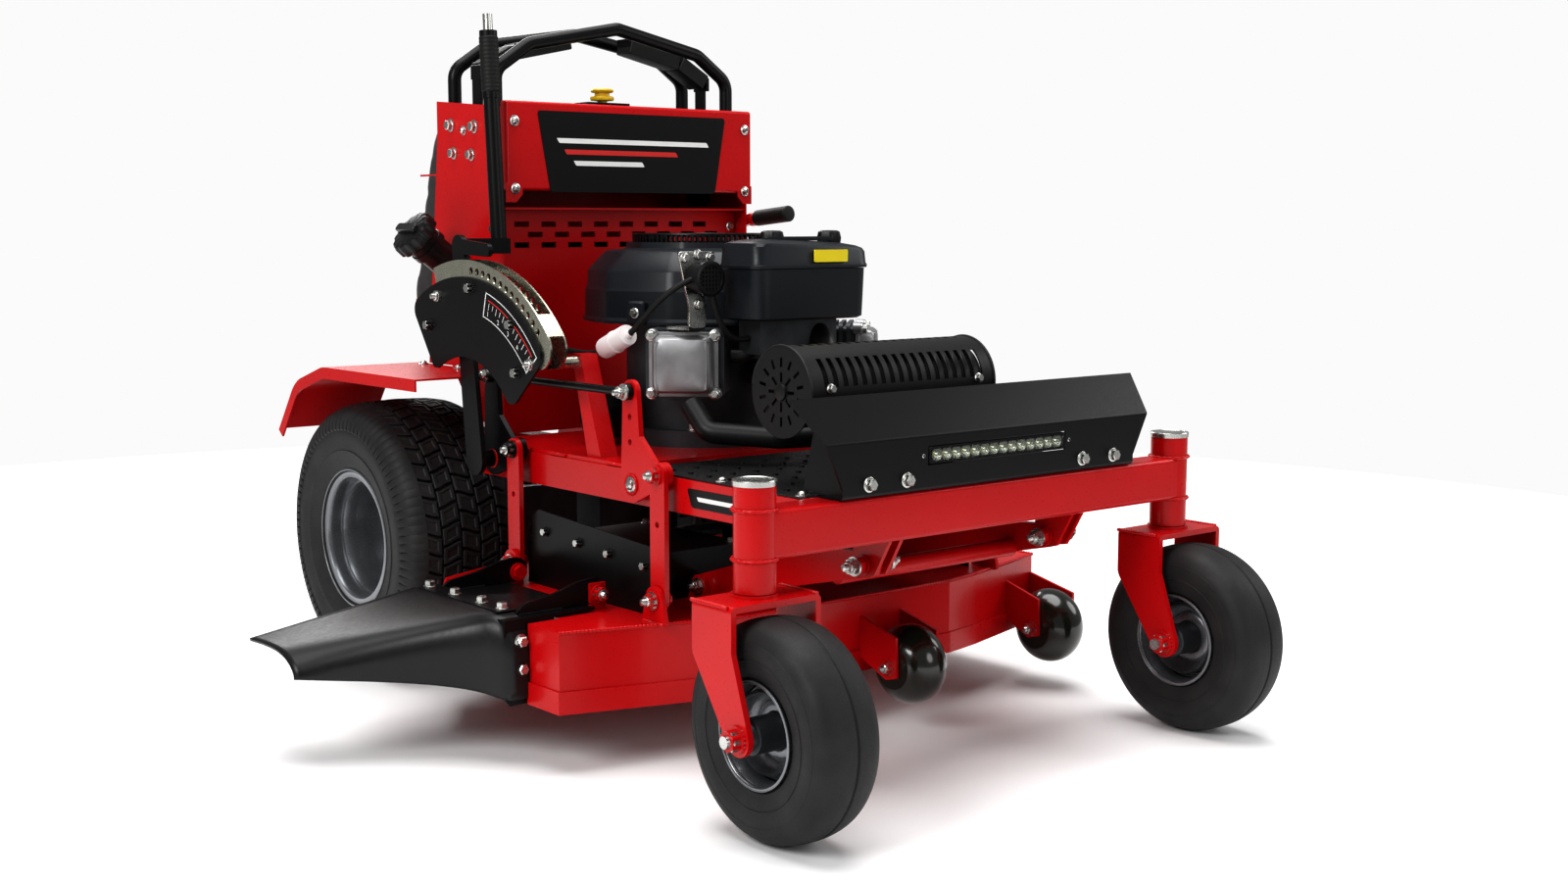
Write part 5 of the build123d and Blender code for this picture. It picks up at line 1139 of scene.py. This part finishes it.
class MOWER_OT_exhaust(bpy.types.Operator):
    """Fasteners and the edge roll on the exhaust guard"""
    bl_idname = "mower.exhaust"
    bl_label = "Exhaust trim"

    def execute(self, context):
        low, high = node_box("muffler_guard")
        radius = 62.0
        y, z = low[1] + radius, high[2] - radius
        parts = []
        for x in (low[0] + 1.2, high[0] - 1.2):
            angle = np.radians(np.linspace(-35, 172, 60))
            path = np.stack([np.full(60, x), y - radius * np.cos(angle), z + radius * np.sin(angle)], -1)
            parts.append((tube(path, 2.0, segments=10), "stove black"))
        for x in (low[0] + 34, high[0] - 34):
            for turn in (6.0, 168.0):
                a = math.radians(turn)
                out = np.array([0, -math.cos(a), math.sin(a)])
                parts.append((placed(bolt(10), np.array([x, y, z]) + out * radius, out), ZINC))
        hub = lathe([(-0.5, 0.01), (-0.5, 12), (-3, 11), (-4, 8), (-4, 0.01)], (low[0], y, z), (1, 0, 0),
                    segments=28, closed=False)
        parts.append((hub, "stove black"))
        piece("exhaust_guard_trim", parts, "chassis", angle=35)
        return {"FINISHED"}


# =========================================================================
# Frame, height quadrant and lamp
# =========================================================================
# The pivots of the rear and the front lift shaft, as (y, z), and the scale's outer face in x.
LIFT_PIVOT = np.array([-300.0, 386.0])
FRONT_LIFT = np.array([-679.0, 386.0])
QUADRANT_FACE = -365.0


def weld_ring(centre, axis, radius, bead):
    """A rippled bead round a tube: a closed circle carried round it with radius
    b*(1 + 0.2*sin(18 a))."""
    first, second = across(axis)
    angle = np.linspace(0, 2 * math.pi, 72, endpoint=False)[:, None]
    path = np.asarray(centre, float) + radius * (np.cos(angle) * first + np.sin(angle) * second)
    return tube(path, bead * (1 + 0.2 * np.sin(angle[:, 0] * 18)), segments=8, closed=True)


class MOWER_OT_frame_detail(bpy.types.Operator):
    """Weld beads and bolts on the frame, the forks and the linkage"""
    bl_idname = "mower.frame_detail"
    bl_label = "Frame welds and bolts"

    def execute(self, context):
        bead = context.scene.mower_sizes.weld_radius / MM
        welds, bolts = [], []
        rear = -1037.0
        for side in SIDES:
            inner, outer = side * 250, side * 300
            welds += [weld_bead((inner, rear, 403), (outer, rear, 403), bead),
                      weld_bead((outer, rear, 358), (outer, rear, 402), bead),
                      weld_ring((side * STEM[0], STEM[1], 406), (0, 0, 1), 28.0, bead),
                      weld_ring((side * STEM[0], STEM[1], 344), (0, 0, 1), 28.0, bead),
                      weld_bead((side * 286, -558, 403), (side * 286, -526, 403), bead),
                      weld_bead((side * 256, -558, 403), (side * 256, -526, 403), bead),
                      weld_bead((outer, -275, 358), (outer, -275, 400), bead),
                      weld_bead((side * 178, -233, 403), (side * 138, -233, 403), bead)]
            welds += [weld_bead((side * 297, y, 406), (side * 297, y + 38, 406), bead)
                      for y in (-630, -480, -380, -300)]
            welds += [weld_bead((side * 250.5, y, 410), (side * 250.5, y + 30, 410), bead)
                      for y in (-226, -186)]
            bolts += [placed(bolt(17), (side * 98, -440 + way * 98, 434.6), (0, 0, 1)) for way in (-1, 1)]
            bolts += [placed(bolt(13, head=0.35, socket=True), (side * 266, y, 513.4), (0, 0, 1))
                      for y in (-200, -110, 10)]
            bolts += [placed(bolt(13, head=0.35, socket=True), (side * 286, y, 406), (0, 0, 1))
                      for y in (-1018, -850, -690)]
            bolts += [placed(bolt(14), (side * 236, -1090.4, 424), (0, -1, 0)),
                      placed(bolt(14), (side * 170, -1090.4, 424), (0, -1, 0))]
            bolts += [placed(lock_nut(19), (side * 177 + way * 29, -1030, 306), (way, 0, 0))
                      for way in (-1, 1)]
        piece("frame_welds", [(w, RED) for w in welds], "chassis", angle=50)
        piece("frame_bolts", [(b, ZINC) for b in bolts], "chassis", angle=30)
        for side, name in SIDES.items():
            low, high = node_box(f"caster_fork_{name}")
            middle_x = (low[0] + high[0]) / 2
            seams = []
            for way in (-1, 1):
                x = middle_x + way * 63
                seams.append(weld_bead((x, -1096, 289), (x, -1028, 289), bead))
                seams.append(weld_bead((x + way * 8, -1098, 297), (x + way * 8, -1026, 297), bead))
            seams.append(weld_ring((middle_x, STEM[1], 298.5), (0, 0, 1), 18.0, 2.0))
            piece(f"caster_fork_welds_{name}", [(w, RED) for w in seams], f"caster_{name}",
                  angle=50)
        decal = slab(rounded([(-990, 366), (-800, 366), (-790, 392), (-980, 392)], 5), -300.7, -299.8, "x")
        stripe = slab(rounded([(-966, 376), (-816, 376), (-812, 382), (-962, 382)], 2), -301.0, -300.5, "x")
        piece("rail_decal", [(decal, "black film"), (stripe, "white print")], "chassis")
        for name, body, pivot in (("rear", "height_lever", LIFT_PIVOT),
                                  ("front", "front_crank", FRONT_LIFT)):
            rings = [weld_ring((side * x, *pivot), (1, 0, 0), 13.6, 2.2)
                     for side in SIDES for x in (307.2, 316.8)]
            nuts = [placed(lock_nut(19), (side * 325.2, pivot[0] - 73, pivot[1] + 22), (side, 0, 0))
                    for side in SIDES]
            caps = [placed(bolt(16, head=0.3, socket=True), (side * 316.5, *pivot), (side, 0, 0))
                    for side in SIDES]
            piece(f"lift_crank_trim_{name}", [(r, RED) for r in rings] + [(n, ZINC) for n in nuts + caps],
                  body, angle=40)
        eyes = [(placed(lock_nut(17), (-325.5, pivot[0] + 3, pivot[1] + 132), (-1, 0, 0)), ZINC)
                for pivot in (LIFT_PIVOT, FRONT_LIFT)]
        piece("lift_rod_nuts", eyes, "lift_rod", angle=30)
        return {"FINISHED"}


def numeral(text, size, y, z, x):
    """Flat figures for the height scale, from the built-in font, drawn on the plane of one x."""
    curve = bpy.data.curves.new("figure", "FONT")
    curve.body, curve.size, curve.extrude = text, size, 0.25
    curve.align_x, curve.align_y = "CENTER", "CENTER"
    holder = bpy.data.objects.new("figure", curve)
    bpy.context.scene.collection.objects.link(holder)
    bpy.context.view_layer.update()
    mesh = bpy.data.meshes.new_from_object(holder)
    flat = np.array([v.co for v in mesh.vertices])
    faces = [list(p.vertices) for p in mesh.polygons]
    bpy.data.objects.remove(holder)
    bpy.data.meshes.remove(mesh)
    return np.stack([x - flat[:, 2], y - flat[:, 0], z + flat[:, 1]], -1), faces


class MOWER_OT_height_scale(bpy.types.Operator):
    """The cutting height scale and the screws and nuts on the quadrant"""
    bl_idname = "mower.height_scale"
    bl_label = "Height scale"

    def execute(self, context):
        start, end, x = 105.0, 141.0, QUADRANT_FACE + 0.1
        parts = []
        for inner, outer in ((235, 236.2), (272, 273.2)):
            parts.append((ring_strip(LIFT_PIVOT, inner, outer, start, end, x), "white print"))
        for angle in (start, end - 0.45):
            parts.append((ring_strip(LIFT_PIVOT, 234, 274, angle, angle + 0.45, x, steps=3), "white print"))
        parts.append((ring_strip(LIFT_PIVOT, 262.5, 264.2, start + 2, end - 2, x), "red print"))
        for k in range(13):
            angle = start + 3 + k * (end - start - 6) / 12
            inner = 252 if k % 2 else 249
            parts.append((ring_strip(LIFT_PIVOT, inner, 260, angle - 0.12, angle + 0.12, x, steps=3),
                          "white print"))
        for k, text in enumerate(("1", "2", "3", "4", "5")):
            turn = math.radians(start + 3 + k * (end - start - 6) / 4)
            spot = LIFT_PIVOT + 242.5 * np.array([math.cos(turn), math.sin(turn)])
            parts.append((numeral(text, 11.0, *spot, x), "white print"))
        piece("height_scale_print", parts, "chassis", closed=False)
        screws = [(placed(bolt(14, head=0.45), (QUADRANT_FACE - 0.2, y, z), (-1, 0, 0)), ZINC)
                  for y, z in ((-324, 655), (-193, 593), (-441, 604), (-455, 533))]
        for y, z in ((-226, 640), (-497, 548)):
            screws.append((placed(lock_nut(17), (-361.0, y, z), (-1, 0, 0)), ZINC))
        piece("quadrant_screws", screws, "chassis", angle=30)
        return {"FINISHED"}


class MOWER_OT_lamp(bpy.types.Operator):
    """The light bar: housing, reflectors, lamps and clear cover"""
    bl_idname = "mower.lamp"
    bl_label = "Lamp"

    def execute(self, context):
        low, high = node_box("light_bar")
        rings = []
        for inset, y in ((0, high[1]), (0, low[1] + 2), (1, low[1]), (3, low[1]), (4, low[1] + 1.5),
                         (4, low[1] + 13)):
            outline = rounded(rectangle((low[0] + inset, high[0] - inset), (low[2] + inset, high[2] - inset)),
                              4, steps=6)
            rings.append(np.stack([outline[:, 0], np.full(len(outline), y), outline[:, 1]], -1))
        housing = loft(np.array(rings), caps=True)
        cups, chips = [], []
        count, middle = 14, (low[2] + high[2]) / 2
        pitch = (high[0] - low[0] - 14) / count
        for k in range(count):
            spot = (low[0] + 7 + pitch * (k + 0.5), low[1] + 12.5, middle)
            cups.append((lathe([(0, 2.4), (1.2, 4.0), (4, 6.0), (8, 7.8), (10, 8.4), (10, 9.0), (0, 3.4)],
                               spot, (0, -1, 0), segments=24), "lamp reflector"))
            chip = rectangle((spot[0] - 2.2, spot[0] + 2.2), (middle - 2.2, middle + 2.2))
            chips.append((slab(rounded(chip, 0.5), spot[1] - 1.4, spot[1], "y"), "yellow film"))
        piece("lamp_housing", [(housing, BLACK)] + cups + chips, "chassis",
              ["light_bar"], angle=35)
        window = rectangle((low[0] + 4.2, high[0] - 4.2), (low[2] + 4.2, high[2] - 4.2))
        clear = slab(rounded(window, 3), low[1] + 0.4, low[1] + 1.9, "y")
        piece("lamp_cover", [(clear, "clear polycarbonate")], "chassis", angle=35)
        screws = [(placed(bolt(8, head=0.5, socket=True), (side * 141, low[1] + 5.5, middle), (0, -1, 0)),
                   ZINC) for side in SIDES]
        piece("lamp_screws", screws, "chassis", angle=30)
        return {"FINISHED"}


# =========================================================================
# Deck
# =========================================================================
DECK_TOP = 201.0
SPINDLES = {-1: (-222.0, -565.0), 1: (222.0, -475.0)}
# The left half of the deck's outline from the front, and where the chute's two hinges stand in y.
DECK_EDGE = [(200, -800), (273, -784), (470, -724), (470, -400), (396, -288), (300, -246)]
CHUTE_HINGES = (-407, -620)


class MOWER_OT_deck_detail(bpy.types.Operator):
    """Weld beads, bolts, grease nipples and roller axle nuts on the deck"""
    bl_idname = "mower.deck_detail"
    bl_label = "Deck welds and bolts"

    def execute(self, context):
        bead = context.scene.mower_sizes.weld_radius / MM
        outline = DECK_EDGE + [(-x, y) for x, y in reversed(DECK_EDGE)]
        around = []
        for a, b in zip(outline, outline[1:] + outline[:1]):
            # The discharge side is open, so it has no bead.
            if a[0] > -460 or b[0] > -460:
                around.append((weld_bead((*a, DECK_TOP - 0.4), (*b, DECK_TOP - 0.4), bead, ripple=5.5), RED))
        for pivot in (FRONT_LIFT, LIFT_PIVOT):
            for side in SIDES:
                for x in (side * 326.5, side * 332.5):
                    around.append((weld_bead((x, pivot[0] - 97, DECK_TOP), (x, pivot[0] - 49, DECK_TOP),
                                             bead), RED))
        piece("deck_welds", around, "deck", angle=50)
        parts = []
        for side, (x, y) in SPINDLES.items():
            for turn in np.radians(np.arange(0, 360, 60)):
                spot = (x + 56 * math.cos(turn), y + 56 * math.sin(turn), DECK_TOP + 8)
                parts.append((placed(bolt(14), spot, (0, 0, 1)), ZINC))
            nipple = lathe([(0, 0.01), (0, 4.5), (7, 4.5), (8, 2.8), (11, 3.2), (13, 2), (13, 0.01)],
                           (x + 38, y, 228), (1, 0, 0.6), segments=12, closed=False)
            parts.append((nipple, ZINC))
            for a in (-1, 1):
                for b in (-1, 1):
                    screw = (side * (190 + a * 96), -513 + b * 112, 271.6)
                    parts.append((placed(bolt(12, head=0.4), screw, (0, 0, 1)), ZINC))
            for y_lug in (-752, -373):
                parts.append((placed(lock_nut(19), (side * 332.6, y_lug, 232), (side, 0, 0)), ZINC))
            for way in (-1, 1):
                parts.append((placed(lock_nut(18), (side * 177 + way * 13, -668, 222), (way, 0, 0)), ZINC))
        for x, y, z in ((56, -864, 104), (424, -807, 100)):
            for way in (-1, 1):
                parts.append((placed(lock_nut(17), (x + way * 44, y, z), (way, 0, 0)), ZINC))
        for y, way in zip(CHUTE_HINGES, (1, -1)):
            parts.append((placed(lock_nut(19), (-342, y + way * 10, 224), (0, way, 0)), ZINC))
        for step, y in enumerate((-440, -530, -610, -700)):
            for side in SIDES:
                parts.append((placed(bolt(11), (side * 309, y, 286 - 5 * step), (side, 0, 0)), ZINC))
        piece("deck_bolts", parts, "deck", angle=30)
        return {"FINISHED"}


class MOWER_OT_chute(bpy.types.Operator):
    """The flexible discharge flap with its bolts"""
    bl_idname = "mower.chute"
    bl_label = "Discharge flap"

    def execute(self, context):
        # The flap's section in (y, z) at the bracket and at its free edge, and those two places in x.
        near = smooth_line([(-379, 210.6), (-470, 211), (-560, 211), (-606, 210), (-630, 200), (-643.5, 172),
                            (-644.5, 130), (-644, 96)], steps=6)
        far = smooth_line([(-322, 158), (-368, 160), (-408, 159), (-434, 154), (-450, 147), (-459, 140),
                           (-463, 134), (-464, 129)], steps=6)
        root, free, draw_from = -466, -735, -505
        x = root + np.linspace(0, 1, 34)[:, None] * (free - root)
        share = np.clip((x - draw_from) / (free - draw_from), 0, 1)
        # The front lip draws in sooner than the rear: share**(1 - 0.5 v), v running across the flap.
        across_flap = np.linspace(0, 1, len(near))[None, :]
        pulled = share ** (1 - 0.5 * across_flap)
        y = near[None, :, 0] + (far[:, 0] - near[:, 0])[None] * pulled
        z = near[None, :, 1] + (far[:, 1] - near[:, 1])[None] * pulled
        surface = np.stack([np.broadcast_to(x, y.shape), y, z], -1)
        flap = loft(surface, round_ring=False)
        piece("chute_flap_rubber", [(flap, "flap rubber")], "chute", ["chute_flap"],
              angle=60, wall=4.4, closed=False)
        parts = []
        for y in (-395, -469, -545, -600):
            parts.append((placed(bolt(14), (-484, y, 216.6), (0, 0, 1)), ZINC))
            parts.append((placed(lock_nut(14), (-482, y, 204.2), (0, 0, -1)), ZINC))
        for z in (139, 178):
            parts.append((placed(bolt(14), (-482, -645.6, z), (0, -1, 0)), ZINC))
        piece("chute_flap_bolts", parts, "chute", angle=30)
        outline = rounded([(-478, 209), (-462, 224), (-410, 232), (-372, 244), (-340, 247), (-325, 236),
                           (-325, 214), (-340, 209.5)], 8)
        ears = [(slab(outline, y - 3.3, y + 3.3, "y"), BLACK) for y in CHUTE_HINGES]
        ears += [(weld_bead((-470, y + way * 4, 209), (-400, y + way * 4, 209), 2.2), BLACK)
                 for y in CHUTE_HINGES for way in (-1, 1)]
        ears.append((slab(rectangle((-500, -468), (-614, -388)), 214.2, 217.0, "z", chamfer=0.8), BLACK))
        piece("chute_ears", ears, "chute", angle=35)
        return {"FINISHED"}


# =========================================================================
# Stage
# =========================================================================
class MOWER_OT_stage(bpy.types.Operator):
    """The floor, the soft lights and the camera"""
    bl_idname = "mower.stage"
    bl_label = "Stage"

    def execute(self, context):
        stage = context.scene.mower_stage
        turn = np.linspace(0, 2 * math.pi, 128, endpoint=False)
        rim = stage.floor_size * np.stack([np.cos(turn), np.sin(turn), 0 * turn], -1)
        mesh = bpy.data.meshes.new("floor")
        mesh.from_pydata(rim.tolist(), [], [list(range(len(turn)))])
        floor = bpy.data.objects.new("floor", mesh)
        context.scene.collection.objects.link(floor)
        paint = bpy.data.materials.new("matt floor paint")
        paint.use_nodes = True
        shader = paint.node_tree.nodes["Principled BSDF"]
        shader.inputs["Base Color"].default_value = (*stage.floor_colour, 1.0)
        shader.inputs["Roughness"].default_value = 0.85
        shader.inputs["Specular IOR Level"].default_value = 0.2
        mesh.materials.append(paint)
        world = bpy.data.worlds.new("studio")
        context.scene.world = world
        world.use_nodes = True
        backdrop = world.node_tree.nodes["Background"]
        backdrop.inputs["Color"].default_value = (1.0, 1.0, 1.0, 1.0)
        # The backdrop is bright where it is seen, and lights the mower less.
        path = add(world.node_tree, "ShaderNodeLightPath")
        strength = add(world.node_tree, "ShaderNodeMapRange", {"Value": path.outputs["Is Camera Ray"],
                                                               "To Min": 0.34, "To Max": 0.97})
        world.node_tree.links.new(strength.outputs["Result"], backdrop.inputs["Strength"])
        # Each light's name, place in metres, width in metres and share of the key light's power.
        lights = (("key", (-3.6, -1.3, 2.6), 1.9, 1.0), ("fill", (3.4, -2.2, 2.4), 2.2, 0.4),
                  ("rear", (1.2, 3.4, 2.8), 2.4, 0.8), ("front", (0.4, -4.4, 1.5), 1.6, 0.22),
                  ("top", (0.0, -0.4, 4.4), 4.2, 2.2))
        for name, place, width, share in lights:
            light = bpy.data.lights.new(f"{name}_light", "AREA")
            light.shape, light.size, light.energy = "DISK", width, stage.key_power * share
            holder = bpy.data.objects.new(f"{name}_light", light)
            holder.location = place
            aim = unit(np.array([0, -0.35, 0.45]) - place)
            pitch, yaw = math.acos(-aim[2]), math.atan2(-aim[0], aim[1])
            holder.rotation_euler = (pitch, 0, yaw)
            context.scene.collection.objects.link(holder)
        lens = bpy.data.cameras.new("camera")
        lens.lens, lens.sensor_width = 42.03, 36.0
        camera = bpy.data.objects.new("camera", lens)
        camera.location = (-1.792, -2.794, 0.756)
        camera.rotation_euler = (math.radians(90 - 6.83), 0, math.radians(-39.72))
        context.scene.collection.objects.link(camera)
        context.scene.camera = camera
        context.scene.view_settings.view_transform = "Standard"
        context.scene.view_settings.gamma = 0.82
        return {"FINISHED"}


class MOWER_OT_finishes(bpy.types.Operator):
    """Makes the finishes and puts them on the CAD parts that stay in view"""
    bl_idname = "mower.finishes"
    bl_label = "Finishes"

    def execute(self, context):
        for name, values in FINISHES.items():
            finish(name, **values)
        clear_polycarbonate()
        for name, nodes in NODE_FINISH.items():
            for node in nodes:
                for part in self.objects(node):
                    if not part.material_slots:
                        raise RuntimeError(f"{node} has no material slot")
                    for slot in part.material_slots:
                        slot.material = bpy.data.materials[name]
        return {"FINISHED"}

    @staticmethod
    def objects(node):
        """A CAD node's mesh objects."""
        top = bpy.data.objects[node]
        found = [part for part in [top, *top.children_recursive] if part.type == "MESH"]
        if not found:
            raise RuntimeError(f"{node} has no mesh")
        return found


PIECE_OPERATORS = (MOWER_OT_finishes, MOWER_OT_drive_tyres, MOWER_OT_drive_rims, MOWER_OT_casters,
                   MOWER_OT_tower_trim, MOWER_OT_back_pad, MOWER_OT_controls, MOWER_OT_engine_covers,
                   MOWER_OT_engine_castings, MOWER_OT_exhaust, MOWER_OT_frame_detail, MOWER_OT_height_scale,
                   MOWER_OT_lamp, MOWER_OT_deck_detail, MOWER_OT_chute)


class MOWER_PT_sidebar(bpy.types.Panel):
    """The mower's pieces in the sidebar"""
    bl_idname = "MOWER_PT_sidebar"
    bl_label = "Stand-on Mower"
    bl_space_type = "VIEW_3D"
    bl_region_type = "UI"
    bl_category = "Mower"

    def draw(self, context):
        for group in (context.scene.mower_sizes, context.scene.mower_stage):
            box = self.layout.box()
            for key in group.bl_rna.properties.keys():
                if key not in ("rna_type", "name"):
                    box.prop(group, key)
        for maker in (MOWER_OT_stage, *PIECE_OPERATORS):
            self.layout.operator(maker.bl_idname)


CLASSES = (MowerSizes, MowerStage, MOWER_OT_stage, *PIECE_OPERATORS, MOWER_PT_sidebar)


def register():
    for made in CLASSES:
        bpy.utils.register_class(made)
    bpy.types.Scene.mower_sizes = bpy.props.PointerProperty(type=MowerSizes)
    bpy.types.Scene.mower_stage = bpy.props.PointerProperty(type=MowerStage)


def unregister():
    del bpy.types.Scene.mower_stage
    del bpy.types.Scene.mower_sizes
    for made in reversed(CLASSES):
        bpy.utils.unregister_class(made)


def main():
    register()
    for maker in (MOWER_OT_stage, *PIECE_OPERATORS):
        group, name = maker.bl_idname.split(".")
        getattr(getattr(bpy.ops, group), name)()


if __name__ == "__main__":
    main()
